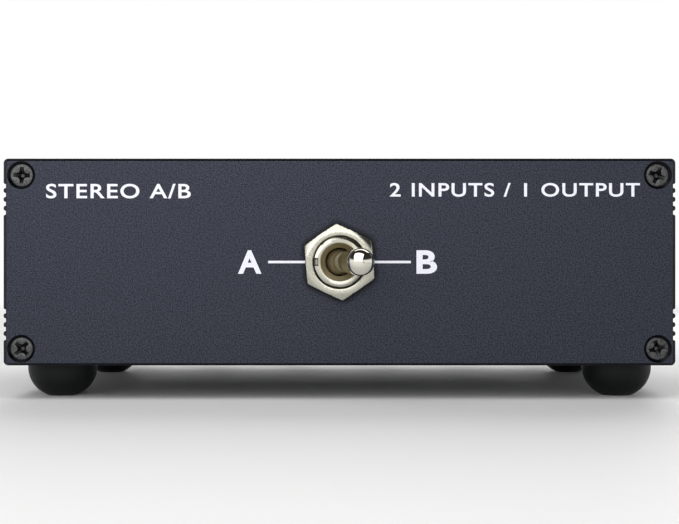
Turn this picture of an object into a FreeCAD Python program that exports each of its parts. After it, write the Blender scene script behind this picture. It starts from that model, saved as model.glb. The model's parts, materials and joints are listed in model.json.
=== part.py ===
import FreeCAD, Part
import math
import os

from FreeCAD import Vector

# A two-way stereo speaker selector: a shallow extruded aluminium case with a toggle switch on its
# front panel and twelve clear binding posts on its rear panel. The lever sends four conductors of
# one of two amplifiers to the loudspeakers. All sizes are in millimetres.
#
# The origin lies on the surface that the feet stand on, under the middle of the overall box, with
# +X to the right of the front panel, +Y towards the rear panel and +Z up. Pieces of the toggle
# switch are drawn about the switch's own axis, with Y as the depth behind the panel's front face.
# Pieces of a binding post are drawn about the post's axis, with Y as the reach out of the rear
# panel's outer face. Both are then moved to their place.

# Panels
PANEL_WIDTH = 159.2
PANEL_HEIGHT = 48.8
PANEL_THICKNESS = 2.0
PANEL_CORNER_RADIUS = 0.8
PANEL_EDGE_CHAMFER = 0.3
PANEL_SCREW_INSET = 3.7

# Case extrusion, two equal halves
BODY_LENGTH = 100.0
BODY_SIDE_LIP = 0.95
BODY_TOP_LIP = 0.4
BODY_CORNER_RADIUS = 1.1
SIDE_WALL = 2.4
TOP_WALL = 1.6
LAP_HEIGHT = 1.6
LAP_CLEARANCE = 0.1
GROOVE_COUNT = 4
GROOVE_START = 6.1
GROOVE_PITCH = 2.13
GROOVE_WIDTH = 0.95
GROOVE_DEPTH = 1.0
BOSS_DIAMETER = 6.0
BOSS_HOLE_DIAMETER = 2.5
BOSS_SLOT = 1.2
RAIL_OFFSET = 7.0
RAIL_SLOT = 1.8
RAIL_THICKNESS = 1.2
RAIL_DEPTH = 2.2

# Countersunk panel screws
SCREW_HEAD_DIAMETER = 5.3
SCREW_HOLE_DIAMETER = 3.4
SCREW_LENGTH = 10.0
SCREW_SINK = 0.7
SCREW_CLEARANCE = 0.05
RECESS_SPAN = 3.8
RECESS_POINT = 0.8
RECESS_WIDTH = 0.75
RECESS_DEPTH = 1.5
FRONT_SCREW_TURNS = (2.0, 23.0, 45.0, -14.0)
REAR_SCREW_TURNS = (-17.0, -26.0, -28.0, 27.0)

# Rubber feet
FOOT_DIAMETER = 17.0
FOOT_HEIGHT = 8.2
FOOT_RIM = 1.2
FOOT_FLAT_DIAMETER = 7.0
FOOT_INSET_X = 10.6
FOOT_INSET_Y = 15.5

# Toggle switch: bushing and lever
BUSHING_DIAMETER = 11.9
BUSHING_REACH = 4.5
BUSHING_CHAMFER = 0.25
BUSHING_MOUTH_DIAMETER = 8.9
BUSHING_BORE_DIAMETER = 6.8
BUSHING_HOLE_CLEARANCE = 0.15
MOUTH_DEPTH = 3.7
SPIGOT_WALL = 0.8
SPIGOT_STAKE = 0.2
THROAT_DIAMETER = 8.8
THROAT_START = 5.0
KEYWAY_WIDTH = 1.9
KEYWAY_DEPTH = 1.0
PIVOT_DEPTH = 3.0
PIVOT_PIN_DIAMETER = 1.5
PIVOT_PIN_LENGTH = 11.0
PIN_CLEARANCE = 0.04
LEVER_THROW = 24.5
LEVER_LENGTH = 22.4
LEVER_TIP_DIAMETER = 6.3
LEVER_ROOT_DIAMETER = 4.4
LEVER_BALL_DIAMETER = 6.4
LEVER_TAIL_DIAMETER = 4.6
LEVER_TAIL_LENGTH = 8.0
TAIL_BORE_DIAMETER = 3.0
TAIL_BORE_END = 1.4
PLUNGER_CLEARANCE = 0.08
PLUNGER_START = 5.0
PLUNGER_REACH = 11.0
SPRING_WIRE = 0.35
SPRING_CLEARANCE = 0.2
SPRING_PITCH = 0.9
SPRING_END_GAP = 0.05

# Toggle switch: nuts, frame and housing
NUT_ACROSS_FLATS = 16.0
NUT_CHAMFER_DIAMETER = 16.4
PANEL_NUT_THICKNESS = 2.5
PANEL_NUT_TURN = 4.6
BACK_NUT_THICKNESS = 2.0
BACK_NUT_TURN = 17.0
NUT_CLEARANCE = 0.05
WASHER_DIAMETER = 16.0
WASHER_THICKNESS = 0.7
FRAME_DEPTH = 6.5
FRAME_THICKNESS = 1.0
FRAME_LEG_WIDTH = 14.0
FRAME_LIP = 1.0
HOUSING_WIDTH = 28.0
HOUSING_HEIGHT = 36.0
HOUSING_LENGTH = 20.0
HOUSING_WALL = 2.0
HOUSING_STEP = 5.5

# Toggle switch: contacts
POLE_COUNT = 4
POLE_END_GAP = 1.0
COLUMN_PITCH = 7.0
CARRIER_DEPTH = 18.0
CARRIER_TILT = 8.0
CARRIER_HALF_WIDTH = 4.5
CARRIER_GAP = 0.1
CARRIER_END_CLEARANCE = 0.4
TRUNNION_DIAMETER = 2.4
TRUNNION_CLEARANCE = 0.05
HUB_RADIUS = 2.4
BLADE_LENGTH = 16.0
BLADE_WIDTH = 4.5
BLADE_THICKNESS = 0.5
BUTTON_DIAMETER = 2.6
BUTTON_HEIGHT = 0.5
CONTACT_GAP = 0.2
TERMINAL_WIDTH = 4.0
TERMINAL_THICKNESS = 0.8
TERMINAL_REACH = 8.5
TERMINAL_SHOULDER = 0.6
TERMINAL_EYE_DIAMETER = 1.6
SLOT_CLEARANCE = 0.1

# Binding posts
POST_COLUMNS = 6
POST_INSET = 14.6
POST_ROW_SPACING = 30.5
STEM_DIAMETER = 6.0
STEM_FRONT = 18.3
STEM_CHAMFER = 0.3
STEM_BACK = 13.0
SOCKET_DIAMETER = 4.1
SOCKET_DEPTH = 14.4
SOCKET_POINT = 1.2
WIRE_HOLE_DIAMETER = 3.0
WIRE_HOLE_POSITION = 8.3
STEM_CLEARANCE = 0.05
BASE_DIAMETER = 16.0
BASE_HEIGHT = 4.5
BASE_FLOOR = 1.2
BASE_BEVEL = 0.8
COLLAR_DIAMETER = 12.2
COLLAR_HEIGHT = 5.0
COLLAR_CHAMFER = 0.4
COLLAR_CLEARANCE = 0.1
CAP_GAP = 0.2
CAP_LENGTH = 13.6
CAP_FLANGE_DIAMETER = 14.2
CAP_FLANGE_HEIGHT = 2.8
CAP_NECK_DIAMETER = 12.4
CAP_NECK_HEIGHT = 0.6
CAP_DIAMETER = 14.0
CAP_ROUNDING = 1.4
CAP_FACE_DIAMETER = 12.0
CAP_CHAMFER = 0.3
FLUTE_COUNT = 8
FLUTE_RADIUS = 9.0
FLUTE_WAIST_DIAMETER = 12.5
INSERT_DIAMETER = 9.3
INSERT_FLANGE_DIAMETER = 10.4
INSERT_FLANGE_HEIGHT = 1.0
INSERT_START = 0.1
INSERT_RECESS = 1.0
INSERT_CHAMFER = 0.3
INSERT_CLEARANCE = 0.04
INNER_BUSH_DIAMETER = 13.0
INNER_BUSH_HEIGHT = 2.5
SPIGOT_DIAMETER = 8.0
SPIGOT_CLEARANCE = 0.1
POST_NUT_ACROSS_FLATS = 10.0
POST_NUT_THICKNESS = 2.5
POST_NUT_CHAMFER_DIAMETER = 10.4
LUG_RING_DIAMETER = 9.6
LUG_THICKNESS = 0.6
LUG_LENGTH = 9.0
LUG_WIDTH = 4.0
LUG_EYE_DIAMETER = 2.0
POST_WASHER_DIAMETER = 10.0
POST_WASHER_THICKNESS = 0.8

# Hookup wires between the switch's terminals and the posts' lugs
WIRE_DIAMETER = 1.4
WIRE_CORE_DIAMETER = 0.9
WIRE_STRIP = 1.0
WIRE_BEND_RADIUS = 4.5
WIRE_FIRST_TURN = 7.5
WIRE_TURN_STEP = 3.5
WIRE_LAYER = 2.1
WIRE_END_RUN = 6.0
WIRE_GAP = 0.05

# Overall places, worked out from the sizes above
X, Y, Z = Vector(1, 0, 0), Vector(0, 1, 0), Vector(0, 0, 1)
BODY_WIDTH = PANEL_WIDTH + 2 * BODY_SIDE_LIP
BODY_HEIGHT = PANEL_HEIGHT + 2 * BODY_TOP_LIP
CASE_LENGTH = BODY_LENGTH + 2 * PANEL_THICKNESS
CASE_MIDDLE = FOOT_HEIGHT + BODY_HEIGHT / 2
REST_TILT = LEVER_THROW / 2
TIP_RADIUS = LEVER_TIP_DIAMETER / 2
LEVER_REACH = LEVER_LENGTH * math.cos(math.radians(REST_TILT)) + TIP_RADIUS - PIVOT_DEPTH
CAP_START = BASE_FLOOR + COLLAR_HEIGHT + CAP_GAP
POST_REACH = CAP_START + CAP_LENGTH
FRONT_FACE = (LEVER_REACH - CASE_LENGTH - POST_REACH) / 2
REAR_FACE = FRONT_FACE + CASE_LENGTH
SWITCH_PLACE = Vector(0, FRONT_FACE, CASE_MIDDLE)
PIVOT = Vector(0, PIVOT_DEPTH, 0)
CARRIER_AXIS = Vector(0, CARRIER_DEPTH, 0)
BUSHING_RADIUS = BUSHING_DIAMETER / 2
HOUSING_FRONT = FRAME_DEPTH + FRAME_THICKNESS
HOUSING_BACK = HOUSING_FRONT + HOUSING_LENGTH
STEM_RADIUS = STEM_DIAMETER / 2
STEM_BORE = STEM_RADIUS + STEM_CLEARANCE


# Helpers for outlines and plain solids
def outline(start, *steps):
    """A flat face. A step is a point for a straight edge, or a pair of points for an arc."""
    edges, here = [], start
    for step in steps:
        if isinstance(step, tuple):
            middle, end = step
            edges.append(Part.Arc(here, middle, end).toShape())
        else:
            end = step
            edges.append(Part.makeLine(here, end))
        here = end
    if (here - start).Length > 1e-7:
        edges.append(Part.makeLine(here, start))
    return Part.Face(Part.Wire(edges))


def ry(radius, y):
    """A point of an outline that is turned about the Y axis."""
    return Vector(radius, y, 0)


def turned(start, *steps):
    """A solid of revolution about the Y axis."""
    return outline(start, *steps).revolve(Vector(), Y, 360)


def rod(radius, y0, y1, x=0.0, z=0.0):
    """A cylinder along Y between two depths."""
    return Part.makeCylinder(radius, y1 - y0, Vector(x, y0, z), Y)


def block(x0, x1, y0, y1, z0, z1):
    return Part.makeBox(x1 - x0, y1 - y0, z1 - z0, Vector(x0, y0, z0))


def upright_rod(radius, half_length, y):
    """A cylinder along Z, centred on the Y axis."""
    return Part.makeCylinder(radius, 2 * half_length, Vector(0, y, -half_length), Z)


def rectangle(x0, x1, z0, z1):
    """A face in the XZ plane."""
    return outline(Vector(x0, 0, z0), Vector(x1, 0, z0), Vector(x1, 0, z1), Vector(x0, 0, z1))


def disc(radius, x, z):
    """A round face in the XZ plane."""
    return Part.Face(Part.Wire(Part.makeCircle(radius, Vector(x, 0, z), Y)))


def rounded_rectangle(width, height, radius):
    """A face in the XZ plane, centred on the Y axis."""
    arcs = []
    bulge = radius * (1 - math.sqrt(0.5))
    for side_x, side_z in ((1, 1), (-1, 1), (-1, -1), (1, -1)):
        corner = Vector(side_x * width / 2, 0, side_z * height / 2)
        ends = [corner - Z * side_z * radius, corner - X * side_x * radius]
        middle = corner - X * side_x * bulge - Z * side_z * bulge
        if side_x * side_z < 0:
            ends.reverse()
        arcs.append((ends[0], (middle, ends[1])))
    first = arcs[0][0]
    steps = [arcs[0][1]]
    for start, arc in arcs[1:]:
        steps += [start, arc]
    return outline(first, *steps)


def hexagon_nut(across_flats, bore_radius, y0, y1, turn, chamfer_diameter):
    """A hexagon nut along Y, its corners chamfered on the face at y0."""
    corner = across_flats / 2 / math.cos(math.radians(30))
    angles = [math.radians(90 + turn + 60 * i) for i in range(6)]
    points = [Vector(corner * math.cos(a), y0, corner * math.sin(a)) for a in angles]
    prism = outline(*points).extrude(Y * (y1 - y0))
    face = chamfer_diameter / 2
    rise = (corner - face) * math.tan(math.radians(30))
    envelope = turned(ry(0, y0), ry(face, y0), ry(corner, y0 + rise), ry(corner, y1), ry(0, y1))
    return prism.common(envelope).cut(rod(bore_radius, y0, y1))


# Case
def shell_wall():
    """Bare wall of one case half, in the XZ plane about the middle of the case."""
    half_width, half_height = BODY_WIDTH / 2, BODY_HEIGHT / 2
    inner_x, inner_z = half_width - SIDE_WALL, half_height - TOP_WALL
    tube = rounded_rectangle(BODY_WIDTH, BODY_HEIGHT, BODY_CORNER_RADIUS)
    tube = tube.cut(rectangle(-inner_x, inner_x, -inner_z, inner_z))
    return tube.common(rectangle(-half_width, half_width, 0, half_height))


def lap_tongue_width():
    return (SIDE_WALL - LAP_CLEARANCE) / 2


def shell_ribs():
    """Faces that stand on the bare wall: the lap's tongue, guide rails and screw channels."""
    inner_x = BODY_WIDTH / 2 - SIDE_WALL
    ribs = [rectangle(-inner_x - lap_tongue_width(), -inner_x, -LAP_HEIGHT, 0)]
    for side in (-1, 1):
        for low in (RAIL_OFFSET, RAIL_OFFSET + RAIL_SLOT + RAIL_THICKNESS):
            ends = sorted((side * inner_x, side * (inner_x - RAIL_DEPTH)))
            ribs.append(rectangle(*ends, low, low + RAIL_THICKNESS))
        ribs.append(disc(BOSS_DIAMETER / 2, side * screw_offset_x(), screw_offset_z()))
    return ribs


def shell_cuts():
    """Faces cut from the section: the lap's rebate, screw holes and side grooves."""
    inner_x = BODY_WIDTH / 2 - SIDE_WALL
    rebate = lap_tongue_width() + LAP_CLEARANCE
    cuts = [rectangle(inner_x, inner_x + rebate, 0, LAP_HEIGHT + LAP_CLEARANCE)]
    for side in (-1, 1):
        x, z = side * screw_offset_x(), screw_offset_z()
        cuts += [disc(BOSS_HOLE_DIAMETER / 2, x, z), boss_slot(x, z, side)]
        cuts += side_grooves(side)
    return cuts


def screw_offset_x():
    return PANEL_WIDTH / 2 - PANEL_SCREW_INSET


def screw_offset_z():
    return PANEL_HEIGHT / 2 - PANEL_SCREW_INSET


def boss_slot(x, z, side):
    """The slot that opens a screw channel towards the inside of the case."""
    slot = rectangle(-BOSS_SLOT / 2, BOSS_SLOT / 2, -BOSS_DIAMETER, 0)
    return slot.rotated(Vector(), Y, 45 * side).translated(Vector(x, 0, z))


def side_grooves(side):
    """Grooves along one side wall, each with a round bottom and eased lips."""
    half_width, half_height = BODY_WIDTH / 2, BODY_HEIGHT / 2
    grooves = []
    for i in range(GROOVE_COUNT):
        z = half_height - GROOVE_START - GROOVE_WIDTH / 2 - i * GROOVE_PITCH
        bottom = half_width - GROOVE_DEPTH
        lip = (GROOVE_PITCH - GROOVE_WIDTH) / 4
        radius = GROOVE_WIDTH / 2
        groove = outline(
            Vector(half_width, 0, z + radius + lip),
            Vector(half_width - lip, 0, z + radius),
            Vector(bottom + radius, 0, z + radius),
            (Vector(bottom, 0, z), Vector(bottom + radius, 0, z - radius)),
            Vector(half_width - lip, 0, z - radius),
            Vector(half_width, 0, z - radius - lip),
        )
        grooves.append(groove if side > 0 else groove.mirror(Vector(), X))
    return grooves


def case_half():
    """The upper half of the case; the lower one is the same extrusion turned over."""
    length = Y * BODY_LENGTH
    ribs = [face.extrude(length) for face in shell_ribs()]
    cuts = [face.extrude(length) for face in shell_cuts()]
    half = shell_wall().extrude(length).fuse(ribs).removeSplitter().cut(cuts)
    return half.translated(Y * (FRONT_FACE + PANEL_THICKNESS) + Z * CASE_MIDDLE)


def bottom_half(top):
    return top.rotated(Z * CASE_MIDDLE, Y, 180)


def panel_blank():
    """A panel with its outer face at y = 0 and its edge chamfered there."""
    blank = rounded_rectangle(PANEL_WIDTH, PANEL_HEIGHT, PANEL_CORNER_RADIUS)
    blank = blank.extrude(Y * PANEL_THICKNESS)
    rim = [e for e in blank.Edges if e.BoundBox.YMax < PANEL_THICKNESS / 2]
    blank = blank.makeChamfer(PANEL_EDGE_CHAMFER, rim)
    for x, z in screw_places():
        blank = blank.cut(countersunk_hole(x, z))
    return blank


def screw_places():
    """Screw axes: upper left, upper right, lower left, lower right."""
    return [(x * screw_offset_x(), z * screw_offset_z()) for z in (1, -1) for x in (-1, 1)]


def countersunk_hole(x, z):
    hole = SCREW_HOLE_DIAMETER / 2
    mouth = SCREW_HEAD_DIAMETER / 2 + SCREW_SINK
    sink = turned(ry(0, 0), ry(mouth, 0), ry(hole, mouth - hole), ry(0, mouth - hole))
    return sink.fuse(rod(hole, 0, PANEL_THICKNESS)).translated(Vector(x, 0, z))


def front_panel():
    hole = rod(BUSHING_RADIUS + BUSHING_HOLE_CLEARANCE, 0, PANEL_THICKNESS)
    return panel_blank().cut(hole).translated(SWITCH_PLACE)


def rear_panel():
    panel = panel_blank().rotated(Vector(), Z, 180)
    hole = SPIGOT_DIAMETER / 2 + SPIGOT_CLEARANCE
    holes = [rod(hole, -PANEL_THICKNESS, 0, x, z) for x, z in post_offsets()]
    return panel.cut(holes).translated(Vector(0, REAR_FACE, CASE_MIDDLE))


def panel_screw(turn):
    """A countersunk screw along +Y, its head just under the panel face at y = 0."""
    head = SCREW_HEAD_DIAMETER / 2 - SCREW_CLEARANCE
    shank = BOSS_HOLE_DIAMETER / 2 - SCREW_CLEARANCE
    seat = SCREW_SINK + head - shank
    end = SCREW_SINK + SCREW_LENGTH
    screw = turned(
        ry(0, SCREW_SINK),
        ry(head, SCREW_SINK),
        ry(shank, seat),
        ry(shank, end - shank),
        ry(0, end),
    )
    return screw.cut(driver_recess()).rotated(Vector(), Y, turn)


def driver_recess():
    """A cross whose wings slope in to a blunt point, as the driver's tip does."""
    wing, half = RECESS_SPAN / 2, RECESS_WIDTH / 2
    floor = SCREW_SINK + RECESS_DEPTH
    cross = block(-wing, wing, 0, floor, -half, half)
    cross = cross.fuse(block(-half, half, 0, floor, -wing, wing))
    tip = turned(
        ry(0, 0), ry(wing, 0), ry(wing, SCREW_SINK), ry(RECESS_POINT / 2, floor), ry(0, floor)
    )
    return cross.common(tip)


def front_screws():
    return [
        panel_screw(turn).translated(SWITCH_PLACE + Vector(x, 0, z))
        for (x, z), turn in zip(screw_places(), FRONT_SCREW_TURNS)
    ]


def rear_screws():
    place = Vector(0, REAR_FACE, CASE_MIDDLE)
    return [
        panel_screw(turn).rotated(Vector(), Z, 180).translated(place + Vector(x, 0, z))
        for (x, z), turn in zip(screw_places(), REAR_SCREW_TURNS)
    ]


def foot():
    """A domed rubber foot with a flat tread, standing on z = 0."""
    radius, tread = FOOT_DIAMETER / 2, FOOT_FLAT_DIAMETER / 2
    shoulder = FOOT_HEIGHT - FOOT_RIM
    run = radius - tread
    dome = (run * run + shoulder * shoulder) / (2 * run)
    half_turn = math.asin(shoulder / dome) / 2
    middle = Vector(
        radius - dome * (1 - math.cos(half_turn)), 0, shoulder - dome * math.sin(half_turn)
    )
    face = outline(
        Vector(),
        Vector(tread, 0, 0),
        (middle, Vector(radius, 0, shoulder)),
        Vector(radius, 0, FOOT_HEIGHT),
        Vector(0, 0, FOOT_HEIGHT),
    )
    return face.revolve(Vector(), Z, 360)


def foot_places():
    x = PANEL_WIDTH / 2 - FOOT_INSET_X
    front, rear = FRONT_FACE + FOOT_INSET_Y, REAR_FACE - FOOT_INSET_Y
    return {
        "foot_front_left": Vector(-x, front, 0),
        "foot_front_right": Vector(x, front, 0),
        "foot_rear_left": Vector(-x, rear, 0),
        "foot_rear_right": Vector(x, rear, 0),
    }


# Toggle switch
def toggle_bushing():
    """Threaded bushing with a flared mouth, a keyway and a spigot staked into the frame."""
    mouth, bore, throat = BUSHING_MOUTH_DIAMETER / 2, BUSHING_BORE_DIAMETER / 2, THROAT_DIAMETER / 2
    spigot = throat + SPIGOT_WALL
    back = HOUSING_FRONT + SPIGOT_STAKE
    bushing = turned(
        ry(mouth, -BUSHING_REACH),
        ry(BUSHING_RADIUS - BUSHING_CHAMFER, -BUSHING_REACH),
        ry(BUSHING_RADIUS, BUSHING_CHAMFER - BUSHING_REACH),
        ry(BUSHING_RADIUS, FRAME_DEPTH),
        ry(spigot, FRAME_DEPTH),
        ry(spigot, back),
        ry(throat, back),
        ry(bore, THROAT_START),
        ry(bore, MOUTH_DEPTH - BUSHING_REACH),
    )
    keyway = keyway_block(KEYWAY_WIDTH, KEYWAY_DEPTH, -BUSHING_REACH, FRAME_DEPTH)
    pin_hole = upright_rod(PIVOT_PIN_DIAMETER / 2 + PIN_CLEARANCE, BUSHING_DIAMETER, PIVOT_DEPTH)
    return bushing.cut([keyway, pin_hole])


def keyway_block(width, depth, y0, y1):
    """A bar along the left of the bushing, from its keyway's floor to past its surface."""
    floor = depth - BUSHING_RADIUS
    return block(-BUSHING_RADIUS - depth, floor, y0, y1, -width / 2, width / 2)


def along_lever(radius, distance):
    """A point of the lever's outline, at a distance in front of the pivot."""
    return Vector(radius, -distance, 0)


def lever_pose(shape):
    """Leans a piece of the lever to its rest angle about the pivot."""
    return shape.rotated(Vector(), Z, REST_TILT).translated(PIVOT)


def toggle_lever():
    """Bat lever: a round tip, a taper, the pivot ball and a bored tail."""
    root, ball = LEVER_ROOT_DIAMETER / 2, LEVER_BALL_DIAMETER / 2
    tail, bore = LEVER_TAIL_DIAMETER / 2, TAIL_BORE_DIAMETER / 2
    root_start = math.sqrt(ball**2 - root**2)
    tail_start = math.sqrt(ball**2 - tail**2)
    taper = LEVER_LENGTH - root_start
    slope = math.asin(TIP_RADIUS / math.hypot(root, taper)) - math.atan2(root, taper)
    turn = (math.pi / 2 - slope) / 2
    lever = turned(
        along_lever(root, root_start),
        along_lever(TIP_RADIUS * math.cos(slope), LEVER_LENGTH - TIP_RADIUS * math.sin(slope)),
        (
            along_lever(TIP_RADIUS * math.cos(turn), LEVER_LENGTH + TIP_RADIUS * math.sin(turn)),
            along_lever(0, LEVER_LENGTH + TIP_RADIUS),
        ),
        along_lever(0, -TAIL_BORE_END),
        along_lever(bore, -TAIL_BORE_END),
        along_lever(bore, -LEVER_TAIL_LENGTH),
        along_lever(tail, -LEVER_TAIL_LENGTH),
        along_lever(tail, -tail_start),
        (along_lever(ball, 0), along_lever(root, root_start)),
    )
    pin_hole = upright_rod(PIVOT_PIN_DIAMETER / 2 + PIN_CLEARANCE, LEVER_BALL_DIAMETER, 0)
    return lever_pose(lever.cut(pin_hole))


def plunger():
    """The sprung nose in the lever's tail that rides on the contact carrier."""
    radius = TAIL_BORE_DIAMETER / 2 - PLUNGER_CLEARANCE
    shoulder = PLUNGER_REACH - radius
    diagonal = math.sqrt(0.5) * radius
    nose = turned(
        along_lever(0, -PLUNGER_START),
        along_lever(radius, -PLUNGER_START),
        along_lever(radius, -shoulder),
        (along_lever(diagonal, -shoulder - diagonal), along_lever(0, -PLUNGER_REACH)),
    )
    return lever_pose(nose)


def plunger_spring():
    """Compression spring between the bore's end and the plunger."""
    radius = (TAIL_BORE_DIAMETER - SPRING_CLEARANCE * 2 - SPRING_WIRE) / 2
    start = TAIL_BORE_END + SPRING_WIRE / 2 + SPRING_END_GAP
    height = PLUNGER_START - SPRING_WIRE / 2 - SPRING_END_GAP - start
    coil = Part.makeHelix(SPRING_PITCH, height, radius)
    profile = Part.makeCircle(SPRING_WIRE / 2, Vector(radius, 0, 0), Y)
    spring = Part.Wire(coil).makePipeShell([Part.Wire(profile)], True, True)
    return lever_pose(spring.rotated(Vector(), X, -90).translated(Y * start))


def panel_nut():
    return hexagon_nut(
        NUT_ACROSS_FLATS,
        BUSHING_RADIUS + NUT_CLEARANCE,
        -PANEL_NUT_THICKNESS,
        0,
        PANEL_NUT_TURN,
        NUT_CHAMFER_DIAMETER,
    )


def lock_washer():
    """Washer behind the panel, with a tongue in the bushing's keyway."""
    start = PANEL_THICKNESS
    ring = rod(WASHER_DIAMETER / 2, start, start + WASHER_THICKNESS)
    ring = ring.cut(rod(BUSHING_RADIUS + NUT_CLEARANCE, start, start + WASHER_THICKNESS))
    width = KEYWAY_WIDTH - 2 * NUT_CLEARANCE
    tongue = keyway_block(width, KEYWAY_DEPTH - NUT_CLEARANCE, start, start + WASHER_THICKNESS)
    return ring.fuse(tongue).removeSplitter()


def back_nut():
    start = PANEL_THICKNESS + WASHER_THICKNESS
    return hexagon_nut(
        NUT_ACROSS_FLATS,
        BUSHING_RADIUS + NUT_CLEARANCE,
        start,
        start + BACK_NUT_THICKNESS,
        BACK_NUT_TURN,
        NUT_CHAMFER_DIAMETER,
    )


def switch_frame():
    """Plate that carries the bushing, with two legs that hook round the housing."""
    half_width, half_height = HOUSING_WIDTH / 2, HOUSING_HEIGHT / 2
    outer = half_height + FRAME_THICKNESS
    leg = FRAME_LEG_WIDTH / 2
    hook = HOUSING_BACK - HOUSING_STEP
    frame = block(-half_width, half_width, FRAME_DEPTH, HOUSING_FRONT, -outer, outer)
    for side in (-1, 1):
        low, high = sorted((side * half_height, side * outer))
        frame = frame.fuse(block(-leg, leg, HOUSING_FRONT, hook, low, high))
        low, high = sorted((side * (half_height - FRAME_LIP), side * outer))
        frame = frame.fuse(block(-leg, leg, hook, hook + FRAME_THICKNESS, low, high))
    spigot = THROAT_DIAMETER / 2 + SPIGOT_WALL
    return frame.removeSplitter().cut(rod(spigot, FRAME_DEPTH, HOUSING_FRONT))


def pole_heights():
    """Heights of the poles, spread over the inside of the housing."""
    outermost = HOUSING_HEIGHT / 2 - HOUSING_WALL - POLE_END_GAP - BLADE_WIDTH / 2
    pitch = 2 * outermost / (POLE_COUNT - 1)
    return [i * pitch - outermost for i in range(POLE_COUNT)]


def housing_floor():
    """Depth of the inner face of the housing's back wall."""
    return HOUSING_BACK - HOUSING_WALL


def switch_housing():
    """Moulded box, open to the front, with bearings for the carrier and slots for terminals."""
    half_width, half_height = HOUSING_WIDTH / 2, HOUSING_HEIGHT / 2
    ledge = HOUSING_BACK - HOUSING_STEP
    rear_height = half_height - FRAME_LIP
    housing = block(
        -half_width, half_width, HOUSING_FRONT, ledge, -half_height, half_height
    ).fuse(block(-half_width, half_width, ledge, HOUSING_BACK, -rear_height, rear_height))
    inner_x, inner_z = half_width - HOUSING_WALL, half_height - HOUSING_WALL
    hollow = block(-inner_x, inner_x, HOUSING_FRONT, housing_floor(), -inner_z, inner_z)
    bearing = upright_rod(
        TRUNNION_DIAMETER / 2 + TRUNNION_CLEARANCE, half_height, CARRIER_DEPTH
    )
    slots = []
    thick = TERMINAL_THICKNESS / 2 + SLOT_CLEARANCE
    wide = TERMINAL_WIDTH / 2 + SLOT_CLEARANCE
    for x, z in terminal_places():
        slots.append(block(x - thick, x + thick, housing_floor(), HOUSING_BACK, z - wide, z + wide))
    return housing.removeSplitter().cut([hollow, bearing] + slots)


def terminal_places():
    return [(c * COLUMN_PITCH, z) for z in pole_heights() for c in (-1, 0, 1)]


def carrier_pose(shape):
    """Tips a piece of the carrier to its rest angle about its own pivot."""
    return shape.rotated(Vector(), Z, -CARRIER_TILT).translated(CARRIER_AXIS)


def contact_carrier():
    """Moulded rocker whose hollow front face follows the sweep of the plunger's nose."""
    sweep = PLUNGER_REACH + CARRIER_GAP
    lever_pivot = PIVOT_DEPTH - CARRIER_DEPTH
    edge = lever_pivot + math.sqrt(sweep**2 - CARRIER_HALF_WIDTH**2)
    half_length = HOUSING_HEIGHT / 2 - HOUSING_WALL - CARRIER_END_CLEARANCE
    start = Vector(-CARRIER_HALF_WIDTH, edge, -half_length)
    section = outline(
        start,
        (
            Vector(0, lever_pivot + sweep, -half_length),
            Vector(CARRIER_HALF_WIDTH, edge, -half_length),
        ),
        Vector(HUB_RADIUS, 0, -half_length),
        Vector(HUB_RADIUS, HUB_RADIUS, -half_length),
        Vector(-HUB_RADIUS, HUB_RADIUS, -half_length),
        Vector(-HUB_RADIUS, 0, -half_length),
    )
    carrier = section.extrude(Z * 2 * half_length)
    trunnion_end = HOUSING_HEIGHT / 2 - CARRIER_END_CLEARANCE
    return carrier_pose(carrier.fuse(upright_rod(TRUNNION_DIAMETER / 2, trunnion_end, 0)))


def contact_blades():
    """One seesaw blade for each pole, with a contact button at each end."""
    blades = []
    seat = HUB_RADIUS
    back = seat + BLADE_THICKNESS
    half = BLADE_LENGTH / 2
    for z in pole_heights():
        blade = block(-half, half, seat, back, z - BLADE_WIDTH / 2, z + BLADE_WIDTH / 2)
        for side in (-1, 1):
            x = side * button_offset()
            blade = blade.fuse(rod(BUTTON_DIAMETER / 2, back, back + BUTTON_HEIGHT, x, z))
        blades.append(carrier_pose(blade))
    return blades


def button_offset():
    """Distance of a blade's button from its middle, so that it lands on its terminal's head."""
    tilt = math.radians(CARRIER_TILT)
    back = HUB_RADIUS + BLADE_THICKNESS + BUTTON_HEIGHT
    return (COLUMN_PITCH + back * math.sin(tilt)) / math.cos(tilt)


def outer_contact_depth():
    """Depth of the outer terminals' heads, just clear of a blade's button at full tilt."""
    tilt = math.radians(CARRIER_TILT)
    back = HUB_RADIUS + BLADE_THICKNESS + BUTTON_HEIGHT
    corner = button_offset() + BUTTON_DIAMETER / 2
    reach = corner * math.sin(tilt) + back * math.cos(tilt)
    return CARRIER_DEPTH + reach + CONTACT_GAP


def common_contact_depth():
    """Depth of the middle terminals' heads, just clear of the blade's middle."""
    tilt = math.radians(CARRIER_TILT)
    back = HUB_RADIUS + BLADE_THICKNESS
    reach = BUTTON_DIAMETER / 2 * math.sin(tilt) + back * math.cos(tilt)
    return CARRIER_DEPTH + reach + CONTACT_GAP


def terminal(x, z):
    """A terminal: a contact head, a shoulder on the back wall and a blade with a solder eye."""
    head = common_contact_depth() if x == 0 else outer_contact_depth()
    floor = housing_floor()
    end = HOUSING_BACK + TERMINAL_REACH
    thick, wide = TERMINAL_THICKNESS / 2, TERMINAL_WIDTH / 2
    shoulder = BUTTON_DIAMETER / 2
    tip = wide - thick
    piece = block(x - thick, x + thick, head, end - tip, z - wide, z + wide)
    piece = piece.fuse(block(x - thick, x + thick, end - tip, end, z - tip, z + tip))
    piece = piece.fuse(rod(shoulder, head, floor - TERMINAL_SHOULDER, x, z))
    piece = piece.fuse(
        block(x - shoulder, x + shoulder, floor - TERMINAL_SHOULDER, floor, z - wide, z + wide)
    )
    eye = Part.makeCylinder(
        TERMINAL_EYE_DIAMETER / 2, TERMINAL_THICKNESS, Vector(x - thick, end - wide, z), X
    )
    return piece.removeSplitter().cut(eye)


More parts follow.
